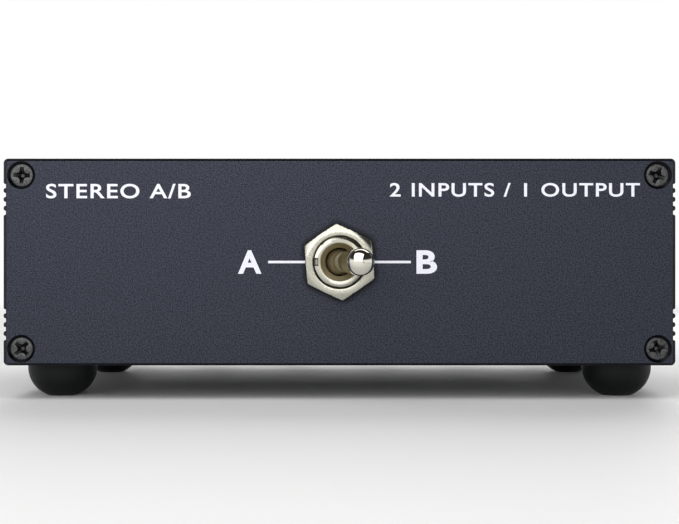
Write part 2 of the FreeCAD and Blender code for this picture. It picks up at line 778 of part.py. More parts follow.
# Binding posts
def post_offsets():
    """Post axes about the middle of the rear panel, column by column, upper one first."""
    outermost = PANEL_WIDTH / 2 - POST_INSET
    pitch = 2 * outermost / (POST_COLUMNS - 1)
    columns = [i * pitch - outermost for i in range(POST_COLUMNS)]
    return [(x, z * POST_ROW_SPACING / 2) for x in columns for z in (1, -1)]


def post_places():
    return [Vector(x, REAR_FACE, CASE_MIDDLE + z) for x, z in post_offsets()]


def post_stem():
    """Threaded stem with a plug socket in its end and a cross hole for bare wire."""
    socket = SOCKET_DIAMETER / 2
    bottom = STEM_FRONT - SOCKET_DEPTH
    stem = turned(
        ry(0, -STEM_BACK),
        ry(STEM_RADIUS - STEM_CHAMFER, -STEM_BACK),
        ry(STEM_RADIUS, STEM_CHAMFER - STEM_BACK),
        ry(STEM_RADIUS, STEM_FRONT - STEM_CHAMFER),
        ry(STEM_RADIUS - STEM_CHAMFER, STEM_FRONT),
        ry(socket, STEM_FRONT),
        ry(socket, bottom),
        ry(0, bottom - SOCKET_POINT),
    )
    return stem.cut(upright_rod(WIRE_HOLE_DIAMETER / 2, STEM_DIAMETER, WIRE_HOLE_POSITION))


def post_base():
    """Clear insulating cup that holds the collar against the panel."""
    rim, cup = BASE_DIAMETER / 2, COLLAR_DIAMETER / 2 + COLLAR_CLEARANCE
    return turned(
        ry(STEM_BORE, 0),
        ry(rim, 0),
        ry(rim, BASE_HEIGHT - BASE_BEVEL),
        ry(rim - BASE_BEVEL, BASE_HEIGHT),
        ry(cup, BASE_HEIGHT),
        ry(cup, BASE_FLOOR),
        ry(STEM_BORE, BASE_FLOOR),
    )


def post_collar():
    """Brass collar that bare wire or a spade is clamped against."""
    rim, top = COLLAR_DIAMETER / 2, BASE_FLOOR + COLLAR_HEIGHT
    return turned(
        ry(STEM_BORE, BASE_FLOOR),
        ry(rim, BASE_FLOOR),
        ry(rim, top - COLLAR_CHAMFER),
        ry(rim - COLLAR_CHAMFER, top),
        ry(STEM_BORE, top),
    )


def insert_start():
    return CAP_START + INSERT_START


def post_insert():
    """Threaded brass core of the cap, held in it by a flange."""
    core, flange = INSERT_DIAMETER / 2, INSERT_FLANGE_DIAMETER / 2
    start = insert_start()
    front = POST_REACH - INSERT_RECESS
    return turned(
        ry(STEM_BORE, start),
        ry(flange, start),
        ry(flange, start + INSERT_FLANGE_HEIGHT),
        ry(core, start + INSERT_FLANGE_HEIGHT),
        ry(core, front - INSERT_CHAMFER),
        ry(core - INSERT_CHAMFER, front),
        ry(STEM_BORE + INSERT_CHAMFER, front),
        ry(STEM_BORE, front - INSERT_CHAMFER),
    )


def fluted_prism(y0, y1):
    """The grip of the cap: a cylinder with hollow flutes that leave sharp corners."""
    prism = rod(CAP_DIAMETER / 2, y0, y1)
    middle = FLUTE_WAIST_DIAMETER / 2 + FLUTE_RADIUS
    flutes = []
    for i in range(FLUTE_COUNT):
        angle = 2 * math.pi * (i + 0.5) / FLUTE_COUNT
        x, z = middle * math.cos(angle), middle * math.sin(angle)
        flutes.append(rod(FLUTE_RADIUS, y0, y1, x, z))
    return prism.cut(flutes)


def post_cap():
    """Clear grip: a round flange, a neck and an eight-sided fluted head."""
    start, end = CAP_START, POST_REACH
    flange_end = start + CAP_FLANGE_HEIGHT
    head_start = flange_end + CAP_NECK_HEIGHT
    flange, neck = CAP_FLANGE_DIAMETER / 2, CAP_NECK_DIAMETER / 2
    head, face = CAP_DIAMETER / 2, CAP_FACE_DIAMETER / 2
    bore = INSERT_DIAMETER / 2 + INSERT_CLEARANCE
    seat = INSERT_FLANGE_DIAMETER / 2 + INSERT_CLEARANCE
    seat_end = insert_start() + INSERT_FLANGE_HEIGHT + INSERT_CLEARANCE
    diagonal = math.sqrt(0.5)
    shoulder = Vector(
        face + (head - face) * diagonal, end - CAP_ROUNDING * (1 - diagonal), 0
    )
    envelope = turned(
        ry(0, head_start),
        ry(head, head_start),
        ry(head, end - CAP_ROUNDING),
        (shoulder, ry(face, end)),
        ry(0, end),
    )
    collar = turned(
        ry(0, start),
        ry(flange - CAP_CHAMFER, start),
        ry(flange, start + CAP_CHAMFER),
        ry(flange, flange_end - CAP_CHAMFER),
        ry(flange - CAP_CHAMFER, flange_end),
        ry(neck, flange_end),
        ry(neck, head_start),
        ry(0, head_start),
    )
    hollow = rod(bore, start, end).fuse(rod(seat, start, seat_end))
    cap = fluted_prism(head_start, end).common(envelope).fuse(collar)
    return cap.removeSplitter().cut(hollow)


def stack_depths():
    """Depths behind the rear panel's outer face at which the hidden hardware starts and ends."""
    thicknesses = (
        INNER_BUSH_HEIGHT,
        POST_NUT_THICKNESS,
        LUG_THICKNESS,
        POST_WASHER_THICKNESS,
        POST_NUT_THICKNESS,
    )
    depths = [-PANEL_THICKNESS]
    for thickness in thicknesses:
        depths.append(depths[-1] - thickness)
    return depths


def post_inner_bush():
    """Insulating bush behind the panel, its spigot in the panel's hole."""
    front, back = stack_depths()[:2]
    spigot, flange = SPIGOT_DIAMETER / 2, INNER_BUSH_DIAMETER / 2
    return turned(
        ry(STEM_BORE, -SPIGOT_CLEARANCE),
        ry(spigot, -SPIGOT_CLEARANCE),
        ry(spigot, front),
        ry(flange, front),
        ry(flange, back),
        ry(STEM_BORE, back),
    )


def post_nut(front, back):
    return hexagon_nut(POST_NUT_ACROSS_FLATS, STEM_BORE, back, front, 0, POST_NUT_CHAMFER_DIAMETER)


def solder_lug():
    """Ring tag with a solder eye; it points down."""
    front, back = stack_depths()[2:4]
    lug = rod(LUG_RING_DIAMETER / 2, back, front)
    lug = lug.fuse(block(-LUG_WIDTH / 2, LUG_WIDTH / 2, back, front, -LUG_LENGTH, 0))
    eye = rod(LUG_EYE_DIAMETER / 2, back, front, 0, -LUG_LENGTH + LUG_EYE_DIAMETER)
    return lug.removeSplitter().cut([rod(STEM_BORE, back, front), eye])


def post_washer():
    front, back = stack_depths()[3:5]
    return rod(POST_WASHER_DIAMETER / 2, back, front).cut(rod(STEM_BORE, back, front))


# Hookup wires
def wire_corners(column, upper):
    """Corners of the route from a switch terminal to the lug of the post in a column and row.

    The posts stand in pairs, left channel and then right: one amplifier, the loudspeakers, and
    the other amplifier. The right channel takes the outer poles of the switch. Wires to the two
    amplifiers run above and below those to the loudspeakers, and the longest turn off first.
    """
    group, right = column // 2 - 1, column % 2
    pole = POLE_COUNT // 2 + right if upper else POLE_COUNT // 2 - 1 - right
    height = pole_heights()[pole]
    beside = (TERMINAL_THICKNESS + WIRE_CORE_DIAMETER) / 2 + WIRE_GAP
    terminal_x = beside - group * COLUMN_PITCH
    tip = HOUSING_BACK + TERMINAL_REACH
    turns_before = min(column, POST_COLUMNS - 1 - column)
    turn = tip + WIRE_FIRST_TURN + turns_before * WIRE_TURN_STEP
    layer = height + group * WIRE_LAYER
    post_x, post_z = post_offsets()[2 * column + (0 if upper else 1)]
    eye = post_z - math.copysign(LUG_LENGTH - LUG_EYE_DIAMETER, post_z)
    end = CASE_LENGTH + stack_depths()[3] - WIRE_STRIP
    return [
        Vector(terminal_x, tip + WIRE_STRIP, height),
        Vector(terminal_x, turn, layer),
        Vector(post_x, turn, layer),
        Vector(post_x, end - WIRE_END_RUN, eye),
        Vector(post_x, end, eye),
    ]


def rounded_path(corners, radius):
    """Straight runs joined by tangent arcs."""
    edges, here = [], corners[0]
    for before, corner, after in zip(corners, corners[1:], corners[2:]):
        back, onward = (before - corner).normalize(), (after - corner).normalize()
        half_angle = back.getAngle(onward) / 2
        reach = radius / math.tan(half_angle)
        bulge = radius / math.sin(half_angle) - radius
        start, end = corner + back * reach, corner + onward * reach
        middle = corner + (back + onward).normalize() * bulge
        edges += [Part.makeLine(here, start), Part.Arc(start, middle, end).toShape()]
        here = end
    edges.append(Part.makeLine(here, corners[-1]))
    return Part.Wire(edges)


def hookup_wire(column, upper):
    """An insulated wire with a bare core along the terminal and one through the lug's eye."""
    corners = wire_corners(column, upper)
    start, end = corners[0], corners[-1]
    path = rounded_path(corners, WIRE_BEND_RADIUS)
    rim = Part.makeCircle(WIRE_DIAMETER / 2, start, (corners[1] - start).normalize())
    insulation = path.makePipe(Part.Face(Part.Wire(rim)))
    core = WIRE_CORE_DIAMETER / 2
    front = rod(core, start.y - WIRE_STRIP - TERMINAL_WIDTH / 2, start.y + core, start.x, start.z)
    lug_end = end.y + WIRE_STRIP + LUG_THICKNESS + WIRE_STRIP
    back = rod(core, end.y - core, lug_end, end.x, end.z)
    return insulation.fuse([front, back]).translated(SWITCH_PLACE)


def towards_middle(shape, place):
    """Turns a piece of a lower post over, so that it points at the middle of the panel."""
    return shape if place.z > CASE_MIDDLE else shape.rotated(Vector(), Y, 180)


def at_posts(shape):
    """A copy of one piece at each of the posts."""
    return [towards_middle(shape, place).translated(place) for place in post_places()]


# Output
def save(name, solids):
    shape = solids[0] if len(solids) == 1 else Part.makeCompound(solids)
    shape.exportStep(f"parts/{name}.step")
    print(name, len(shape.Solids), "solid(s)", round(shape.Volume, 2), "mm3", shape.isValid())


def case_nodes():
    top = case_half()
    nodes = {
        "top_shell": [top],
        "bottom_shell": [bottom_half(top)],
        "front_panel": [front_panel()],
        "rear_panel": [rear_panel()],
        "front_panel_screws": front_screws(),
        "rear_panel_screws": rear_screws(),
    }
    for name, place in foot_places().items():
        nodes[name] = [foot().translated(place)]
    return nodes


def switch_nodes():
    pivot_pin = upright_rod(PIVOT_PIN_DIAMETER / 2, PIVOT_PIN_LENGTH / 2, PIVOT_DEPTH)
    nodes = {
        "toggle_bushing": [toggle_bushing()],
        "toggle_lever": [toggle_lever()],
        "lever_pivot_pin": [pivot_pin],
        "plunger": [plunger()],
        "plunger_spring": [plunger_spring()],
        "panel_nut": [panel_nut()],
        "lock_washer": [lock_washer()],
        "back_nut": [back_nut()],
        "switch_frame": [switch_frame()],
        "switch_housing": [switch_housing()],
        "contact_carrier": [contact_carrier()],
        "contact_blades": contact_blades(),
        "switch_terminals": [terminal(x, z) for x, z in terminal_places()],
    }
    return {name: [s.translated(SWITCH_PLACE) for s in solids] for name, solids in nodes.items()}


def post_nodes():
    depths = stack_depths()
    nodes = {
        "post_stems": at_posts(post_stem()),
        "post_bases": at_posts(post_base()),
        "post_collars": at_posts(post_collar()),
        "post_inner_bushes": at_posts(post_inner_bush()),
        "post_clamp_nuts": at_posts(post_nut(*depths[1:3])),
        "post_solder_lugs": at_posts(solder_lug()),
        "post_washers": at_posts(post_washer()),
        "post_outer_nuts": at_posts(post_nut(*depths[4:6])),
    }
    inserts, caps = at_posts(post_insert()), at_posts(post_cap())
    for i, (insert, cap) in enumerate(zip(inserts, caps), 1):
        nodes[f"post_insert_{i:02d}"] = [insert]
        nodes[f"post_cap_{i:02d}"] = [cap]
    return nodes


def wire_nodes():
    """Red wires to the upper posts, which are the positive ones, and black wires to the lower."""
    return {
        name: [hookup_wire(column, upper) for column in range(POST_COLUMNS)]
        for name, upper in (("wires_red", True), ("wires_black", False))
    }


os.makedirs("parts", exist_ok=True)
all_nodes = {**case_nodes(), **switch_nodes(), **post_nodes(), **wire_nodes()}
for node, solids in all_nodes.items():
    save(node, solids)
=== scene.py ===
# %% [markdown]
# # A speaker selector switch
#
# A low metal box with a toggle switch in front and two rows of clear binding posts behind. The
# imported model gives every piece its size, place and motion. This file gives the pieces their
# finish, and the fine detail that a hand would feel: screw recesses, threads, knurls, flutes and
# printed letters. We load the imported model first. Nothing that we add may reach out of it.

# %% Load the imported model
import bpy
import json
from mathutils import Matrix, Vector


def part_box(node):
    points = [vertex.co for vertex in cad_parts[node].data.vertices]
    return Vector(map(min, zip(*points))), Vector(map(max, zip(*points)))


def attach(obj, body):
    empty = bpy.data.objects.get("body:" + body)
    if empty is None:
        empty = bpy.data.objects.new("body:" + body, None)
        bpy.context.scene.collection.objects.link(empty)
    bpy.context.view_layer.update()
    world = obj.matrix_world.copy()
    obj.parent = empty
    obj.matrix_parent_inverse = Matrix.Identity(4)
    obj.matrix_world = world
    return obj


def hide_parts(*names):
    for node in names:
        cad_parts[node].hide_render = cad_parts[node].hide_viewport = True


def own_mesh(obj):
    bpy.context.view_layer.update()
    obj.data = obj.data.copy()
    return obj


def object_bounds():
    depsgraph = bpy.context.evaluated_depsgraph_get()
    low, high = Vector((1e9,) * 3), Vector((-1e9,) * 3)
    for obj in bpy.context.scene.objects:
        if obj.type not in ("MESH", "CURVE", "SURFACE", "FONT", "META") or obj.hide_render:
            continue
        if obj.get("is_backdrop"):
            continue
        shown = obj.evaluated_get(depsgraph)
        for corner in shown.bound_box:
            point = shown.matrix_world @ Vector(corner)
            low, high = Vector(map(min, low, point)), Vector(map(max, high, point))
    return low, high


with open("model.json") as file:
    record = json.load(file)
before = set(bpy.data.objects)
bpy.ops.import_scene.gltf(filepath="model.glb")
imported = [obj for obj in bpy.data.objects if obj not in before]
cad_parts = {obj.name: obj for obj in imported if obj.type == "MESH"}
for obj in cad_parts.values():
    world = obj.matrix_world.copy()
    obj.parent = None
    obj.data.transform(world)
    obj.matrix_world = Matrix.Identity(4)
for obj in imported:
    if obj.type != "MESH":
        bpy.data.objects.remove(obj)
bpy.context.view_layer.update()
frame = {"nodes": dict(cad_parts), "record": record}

# %% [markdown]
# ## Places
#
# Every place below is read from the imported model: the panel faces, the middle of the case, the
# axes of posts and screws, and the lever's pivot. A size that the model doesn't hold, such as the
# depth of a knurl, is named where it is first used. Lengths in millimetres are multiplied by MM,
# because Blender counts in metres.

# %% Read the places
import json
import math
from functools import partial

import bmesh
import bpy
from mathutils import Matrix, Vector

MM = 0.001
front_low, front_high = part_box("front_panel")
FRONT, REAR = front_low.y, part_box("rear_panel")[1].y
MIDDLE = (front_low.z + front_high.z) / 2
CORNERS = [(x, z) for z in (1, -1) for x in (-1, 1)]
SLOT_OF = {row["node"]: row["material_slot"] for row in frame["record"]["subparts"]}
BODY_OF = {
    node: body
    for body, nodes in frame["record"]["behaviour"]["bodies"].items()
    for node in nodes
}
POSTS = {}
for node in sorted(frame["nodes"]):
    if node.startswith("post_cap_"):
        low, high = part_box(node)
        POSTS[node[-2:]] = Vector(((low.x + high.x) / 2, REAR, (low.z + high.z) / 2))
print("panels at y =", round(FRONT / MM, 2), "and", round(REAR / MM, 2), "mm;", len(POSTS), "posts")

# %% [markdown]
# ## Camera
#
# The camera stands in front of the panel at the height of the toggle, level and square to the
# box. At 330 mm it is close enough for the lever to show perspective, and the lens is chosen so
# that the panel just fills the width of the view.

# %% Camera
VIEW_DISTANCE = 330 * MM
LENS_LENGTH, SENSOR_WIDTH = 73.4, 36.0

camera_data = bpy.data.cameras.new("camera")
camera_data.lens = LENS_LENGTH
camera_data.sensor_width = SENSOR_WIDTH
camera_data.clip_start, camera_data.clip_end = 10 * MM, 20.0
camera = bpy.data.objects.new("camera", camera_data)
camera.location = (0, FRONT - VIEW_DISTANCE, MIDDLE)
camera.rotation_euler = (math.pi / 2, 0, 0)
bpy.context.scene.collection.objects.link(camera)
bpy.context.scene.camera = camera
bpy.context.scene.view_settings.view_transform = "Standard"
print("camera", round(VIEW_DISTANCE / MM), "mm in front of the panel")

# %% [markdown]
# ## Nodes and colours
#
# Small helpers serve every material and every Geometry Nodes tree. One turns an sRGB hex colour
# into the linear values that Blender computes with. Another adds a node, sets its options and
# fills its inputs: an input given a socket is linked to it, one given a node to that node's first
# output, and anything else becomes the input's own value. A new tree comes with this function
# bound to it, under the short name add.

# %% Colour and node helpers
MATH, VECTOR = "ShaderNodeMath", "ShaderNodeVectorMath"


def to_linear(hex_colour):
    """An sRGB hex colour such as "#33353f" as linear red, green, blue and alpha."""
    channels = [int(hex_colour[i:i + 2], 16) / 255 for i in (1, 3, 5)]
    linear = [c / 12.92 if c <= 0.04045 else ((c + 0.055) / 1.055) ** 2.4 for c in channels]
    return (*linear, 1.0)


def add_node(tree, kind, inputs=(), **settings):
    """Adds a node; its inputs come in order or by name."""
    node = tree.nodes.new(kind)
    for name, value in settings.items():
        setattr(node, name, value)
    for key, value in inputs.items() if isinstance(inputs, dict) else enumerate(inputs):
        if isinstance(value, bpy.types.Node):
            value = value.outputs[0]
        if isinstance(value, bpy.types.NodeSocket):
            tree.links.new(value, node.inputs[key])
        else:
            node.inputs[key].default_value = value
    return node


def new_material(name):
    """A material, the adder of nodes to its tree, and the object's coordinates in that tree."""
    material = bpy.data.materials.new(name)
    material.use_nodes = True
    material.node_tree.nodes.clear()
    add = partial(add_node, material.node_tree)
    return material, add, add("ShaderNodeTexCoord").outputs["Object"]


# %% [markdown]
# ## One recipe for a surface
#
# Close up, no real surface is one colour. Blasting, plating and moulding all leave small patches
# that differ in colour, gloss and height together. Each finish could have its own tree, but one
# recipe makes most of them: a noise of one real size drives the colour, the roughness and a slight
# bump. What sets the finishes apart is the size of the patches, the depth, and the shader's own
# values. A finish may also be darkened in its crevices, where an occlusion test finds other
# surfaces close by: this is painted shade.

# %% Surface recipe
# The noise seldom leaves this range, so its two colours sit at the ends of it.
PATCH_SPREAD = (0.3, 0.7)
# Painted shade in crevices: the colour is scaled by the occlusion raised to this power.
PAINTED_SHADE_POWER, PAINTED_SHADE_SAMPLES = 2.5, 8


def surface(
    name, colours, roughness, patch, depth, detail=2.0, values=None, painted_shade_reach=0.0, turned=False
):
    """A finish in patches of two colours; sizes are in mm, and values go to the shader."""
    material, add, place = new_material(name)
    patches = {"Vector": place, "Scale": 1 / (patch * MM), "Detail": detail}
    noise = add("ShaderNodeTexNoise", patches)
    tint = add("ShaderNodeValToRGB", [noise])
    for stop, position, hex_colour in zip(tint.color_ramp.elements, PATCH_SPREAD, colours):
        stop.position = position
        stop.color = to_linear(hex_colour)
    gloss = add("ShaderNodeMapRange", [noise, *PATCH_SPREAD, *roughness])
    relief = add("ShaderNodeBump", {"Height": noise, "Distance": depth * MM})
    # Painted shade: the colour is darkened where other surfaces lie within the given reach.
    if painted_shade_reach:
        reach = {"Distance": painted_shade_reach * MM}
        sky = add("ShaderNodeAmbientOcclusion", reach, samples=PAINTED_SHADE_SAMPLES)
        shade = add(MATH, [sky.outputs["AO"], PAINTED_SHADE_POWER], operation="POWER")
        tint = add(VECTOR, {0: tint, "Scale": shade}, operation="SCALE")
    inputs = {"Base Color": tint, "Roughness": gloss, "Normal": relief, **(values or {})}
    if turned:
        inputs["Tangent"] = add("ShaderNodeTangent", direction_type="RADIAL", axis="Y")
    shader = add("ShaderNodeBsdfPrincipled", inputs)
    add("ShaderNodeOutputMaterial", [shader])
    return material


# %% [markdown]
# ## Metals
#
# The panels and the case are aluminium, blasted with fine grit and then anodised blue-black. The
# grit leaves a satin skin with a pepper of tiny pale points. Real grit marks are about 0.05 mm
# wide, too fine to show, so they are drawn at about 0.3 mm. The dye sits in a clear oxide, so the
# skin is only partly metallic.
#
# The toggle's bushing and nuts are brass under bright nickel, which is a warm white metal. The
# nuts are turned, so their gloss is drawn out in rings round the axis. The posts are brass under a
# thin flash of gold, paler than solid gold. The screws are steel under black zinc, which wears
# grey on its high spots. The grain of plating is finer than grit, and is drawn 0.3 to 1.2 mm wide
# so that it shows. A metal keeps the shader's default IOR, and its colour is the colour of its
# reflection.

# %% Metal finishes
METAL = {"Metallic": 1.0}
ANODISED = {"Metallic": 0.6, "Specular IOR Level": 0.3}
RINGED = METAL | {"Anisotropic": 0.7, "Anisotropic Rotation": 0.25}

# Two colours, the least and most roughness, the patches' size and depth, their detail, the
# shader's values, the reach of painted shade in crevices, and whether the piece is turned.
METALS = {
    # Zinc dyed black on steel: grey where it is worn, and nearly black in the recess by painted
    # shade.
    "black_zinc": (("#3c3d41", "#646462"), (0.26, 0.4), 0.5, 0.01, 3.0, METAL, 0.6),
    # Bright nickel on turned brass: a warm white, with its gloss in rings.
    "bright_nickel": (("#b6b4a5", "#d0cec2"), (0.16, 0.26), 0.3, 0.0006, 3.0, RINGED, 0.6, True),
    # Clear zinc on steel: a cool grey, in soft patches about a millimetre wide.
    "zinc_steel": (("#a9adb0", "#c6c9ca"), (0.28, 0.42), 1.2, 0.01, 2.0, METAL, 1.5),
    # A flash of gold on turned brass: pale yellow and glossy.
    "gold_plated_brass": (("#d3cba2", "#e6dfbf"), (0.12, 0.24), 0.5, 0.006, 3.0, METAL),
    # Silver on brass, a little tarnished: a pale yellowish grey, softer than the gold.
    "silvered_brass": (("#c2bca6", "#dcd8c8"), (0.22, 0.34), 0.6, 0.005, 2.0, METAL),
}
finishes = {name: surface(name, *recipe) for name, recipe in METALS.items()}
# The anodised finish carries painted shade in crevices up to 1.5 mm wide.
finishes["black_anodised"] = surface(
    "black_anodised_aluminium", ("#0b0d12", "#464a58"), (0.36, 0.5), 0.3, 0.05, 3.0, ANODISED, 1.5
)
print(len(finishes), "metal finishes")

# %% [markdown]
# Where a cutter has sloped the aluminium, as in the countersinks, the skin is smooth and stays
# glossy. Each screw sits in a gap, and the slopes are coloured nearly black as painted shade, so
# each screw sits in a dark ring. A second material could be put on those faces, but the imported
# mesh doesn't mark them. So a slope is told by its normal: the square of the normal's Y is near
# one on a face, near zero on a side, and between the two on a slope.

# %% Painted shade on slopes
SLOPE_MIDDLE, SLOPE_REACH = 0.5, 0.4
# The slopes' colour is painted shade; their roughness is the smooth cut's own.
SLOPE_SHADE_COLOUR, SLOPE_ROUGHNESS = "#0b0c11", 0.22


def paint_shade_on_slopes(material):
    """Paints the sloped cuts of a material nearly black, as painted shade."""
    tree = material.node_tree
    add = partial(add_node, tree)
    shader = next(node for node in tree.nodes if node.type == "BSDF_PRINCIPLED")
    normal = add("ShaderNodeNewGeometry").outputs["True Normal"]
    y = add("ShaderNodeSeparateXYZ", [normal]).outputs["Y"]
    squared = add(MATH, [y, y], operation="MULTIPLY")
    shaded_slope = add(MATH, [squared, SLOPE_MIDDLE, SLOPE_REACH], operation="COMPARE")
    colour = ("Base Color", "RGBA", to_linear(SLOPE_SHADE_COLOUR))
    for target, kind, value in (colour, ("Roughness", "FLOAT", SLOPE_ROUGHNESS)):
        plain = shader.inputs[target].links[0].from_socket
        inputs = {"Factor": shaded_slope, "A": plain, "B": value}
        mixed = add("ShaderNodeMix", inputs, data_type=kind)
        tree.links.new(mixed.outputs["Result"], shader.inputs[target])


# Painted shade: the anodised finish's slopes are coloured nearly black.
paint_shade_on_slopes(finishes["black_anodised"])
print("countersinks dyed darker")

# %% [markdown]
# The lever is the same bright nickel, polished to a mirror at the tip. Its ball turns in grease,
# which has crept up the root and into the bushing's mouth. A film of grease scatters light, so
# there the metal is a dull tan. Both finishes depend on the distance from the lever's pivot.

# %% Greased nickel
GREASY_WITHIN = 6.0
GREASE_COLOUR, GREASE_ROUGHNESS, GREASE_METALLIC = "#b0a583", 0.45, 0.35


def greased_nickel(name, clean_beyond, colour, roughness):
    """Nickel that is clean beyond a distance in millimetres from the lever's pivot."""
    low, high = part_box("lever_pivot_pin")
    material, add, place = new_material(name)
    ends = [place, (low + high) / 2]
    distance = add(VECTOR, ends, operation="DISTANCE").outputs["Value"]
    film = [distance, GREASY_WITHIN * MM, clean_beyond * MM]
    clean = add("ShaderNodeMapRange", film, interpolation_type="SMOOTHSTEP")
    tint = add("ShaderNodeValToRGB", [clean])
    for stop, hex_colour in zip(tint.color_ramp.elements, (GREASE_COLOUR, colour)):
        stop.color = to_linear(hex_colour)
    gloss = add("ShaderNodeMapRange", [clean, 0.0, 1.0, GREASE_ROUGHNESS, roughness])
    bare = add("ShaderNodeMapRange", [clean, 0.0, 1.0, GREASE_METALLIC, 1.0])
    inputs = {"Base Color": tint, "Roughness": gloss, "Metallic": bare}
    shader = add("ShaderNodeBsdfPrincipled", inputs)
    add("ShaderNodeOutputMaterial", [shader])
    return material


finishes["greased_lever"] = greased_nickel("greased_lever", 14.0, "#e2dfd3", 0.03)
finishes["greased_bushing"] = greased_nickel("greased_bushing", 8.2, "#c6c4b7", 0.22)
print("greased lever and bushing")

# %% [markdown]
# ## Plastics, rubber and ink
#
# The posts are insulated with clear polycarbonate, which bends light strongly (IOR about 1.585).
# Mouldings are never perfectly flat, so a faint waviness a few millimetres wide breaks up what is
# seen through them, and a trace of haze makes the plastic slightly milky. The posts' bases are
# turned from rod and keep fine tool marks, which scatter more light. The feet are moulded rubber,
# the switch's case is brown phenolic, and the print is white epoxy ink. Tool marks and the grain
# of a moulding are about 0.1 mm wide, too fine to show, so they are drawn at 0.25 to 0.6 mm.

# %% Plastic finishes
POLYCARBONATE_IOR = 1.585
MOULDED = {"Transmission Weight": 0.92, "IOR": POLYCARBONATE_IOR}
TURNED = {"Transmission Weight": 0.62, "IOR": POLYCARBONATE_IOR}
RUBBER = {"Specular IOR Level": 0.25}

# The same columns as for the metals.
PLASTICS = {
    # Moulded clear plastic: what lies behind it shows through, slightly bent and veiled.
    "clear_polycarbonate": (("#e9e8de", "#f6f5ee"), (0.0, 0.04), 2.0, 0.07, 1.0, MOULDED),
    # Turned clear plastic: milky, so only the collar's brightness comes through.
    "turned_polycarbonate": (("#e8e8dc", "#f8f7f0"), (0.1, 0.2), 0.6, 0.02, 2.0, TURNED),
    # Moulded rubber: nearly black, with a soft and wide shine.
    "foot_rubber": (("#040607", "#0b0f10"), (0.42, 0.6), 0.4, 0.01, 2.0, RUBBER),
    # Pressed phenolic: brown, mottled by its filler.
    "phenolic": (("#3b2418", "#5a3a26"), (0.35, 0.5), 0.5, 0.01),
    # Moulded nylon: an off-white with an even, waxy shine.
    "white_nylon": (("#dad7cb", "#eeece4"), (0.3, 0.4), 0.5, 0.005),
    # Screen-printed epoxy ink: a cool white, matt and slightly uneven.
    "white_ink": (("#dfe2ee", "#f7f8ff"), (0.4, 0.55), 0.25, 0.004),
    # Extruded PVC round the wires: plain red or black, with a dull shine.
    "red_pvc": (("#96100f", "#bb1b18"), (0.3, 0.4), 0.6, 0.01),
    "black_pvc": (("#101112", "#222326"), (0.3, 0.4), 0.6, 0.01),
}
finishes |= {name: surface(name, *recipe) for name, recipe in PLASTICS.items()}
print(len(finishes), "finishes in all")

# %% [markdown]
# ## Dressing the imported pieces
#
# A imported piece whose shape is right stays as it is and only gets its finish. Its round faces
# arrive already smooth, with their own normals, so there is nothing to model: the record names
# the finish of each piece, and we swap in the material of that name. The lever alone gets another
# one, because it is polished and greased.

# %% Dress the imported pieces
def put_on(piece, finish):
    """Gives a piece one finish all over."""
    piece.data.materials.clear()
    piece.data.materials.append(finishes[finish])


for node, slot in SLOT_OF.items():
    put_on(frame["nodes"][node], slot)
put_on(frame["nodes"]["toggle_lever"], "greased_lever")
print("dressed", len(frame["nodes"]), "packed pieces")

# %% [markdown]
# ## Turning on a lathe
#
# Nearly everything that we refine was turned on a lathe: screws, posts, collars, the bushing. A
# Screw modifier on a drawn curve would do it, but points with names are easier to check. So a
# profile of (radius, y) points is spun about the Y axis. A profile that starts and ends on the
# axis closes in two poles, and one that doesn't is a ring, closed on itself. The normals are
# recalculated, because the way a profile runs decides which side they face.

# %% Lathe
def steps(start, end, count):
    """Profile points from one point to another, the last one left out."""
    return [tuple(a + (b - a) * i / count for a, b in zip(start, end)) for i in range(count)]


def rounded(middle, radius, first, last, count, height=None):
    """Profile points on an arc between two angles in degrees; a height makes it an ellipse."""
    angles = [math.radians(first + (last - first) * i / count) for i in range(count + 1)]
    x, y = middle
    return [(x + radius * math.cos(a), y + (height or radius) * math.sin(a)) for a in angles]


def as_mesh(name, work):
    """Turns the faces of a bmesh outwards and keeps it as a mesh."""
    bmesh.ops.recalc_face_normals(work, faces=work.faces)
    mesh = bpy.data.meshes.new(name)
    work.to_mesh(mesh)
    work.free()
    return mesh


def lathe(name, profile, segments):
    """A mesh turned about the Y axis from (radius, y) points in millimetres."""
    work = bmesh.new()
    turns = [2 * math.pi * i / segments for i in range(segments)]
    rings = []
    for radius, y in profile:
        reach = radius * MM
        spots = [(reach * math.cos(t), y * MM, reach * math.sin(t)) for t in turns]
        if radius == 0:
            rings.append([work.verts.new(spots[0])] * segments)
        else:
            rings.append([work.verts.new(spot) for spot in spots])
    if profile[0][0] != 0:
        rings.append(rings[0])
    for ring, onward in zip(rings, rings[1:]):
        for i in range(segments):
            j = (i + 1) % segments
            work.faces.new(dict.fromkeys((ring[i], ring[j], onward[j], onward[i])))
    return as_mesh(name, work)


def stand(name, mesh):
    """An object at the origin that holds a mesh."""
    piece = bpy.data.objects.new(name, mesh)
    bpy.context.scene.collection.objects.link(piece)
    return piece


def settle(piece, name):
    """Turns what is live on an object into a plain mesh, and removes the object."""
    bpy.context.view_layer.update()
    shown = piece.evaluated_get(bpy.context.evaluated_depsgraph_get())
    mesh = bpy.data.meshes.new_from_object(shown)
    bpy.data.objects.remove(piece)
    mesh.name = name
    return mesh


def smooth(mesh, crease=35):
    """Smooth shading, with edges sharper than an angle in degrees left crisp."""
    mesh.shade_smooth()
    mesh.set_sharp_from_angle(angle=math.radians(crease))
    return mesh


# %% [markdown]
# ## Geometry Nodes trees
#
# Three rules shape everything that repeats: a wave cut into a turned wall makes knurls and
# threads, hollows or flats cut round a wall make the caps' flutes and the nut's hexagon, and a
# part set out on points makes a row of screws or posts. Each rule is one tree with named inputs.
# The helpers below open such a tree, run it on a mesh, and keep the result as a plain mesh,
# because an exported model can't hold live trees.

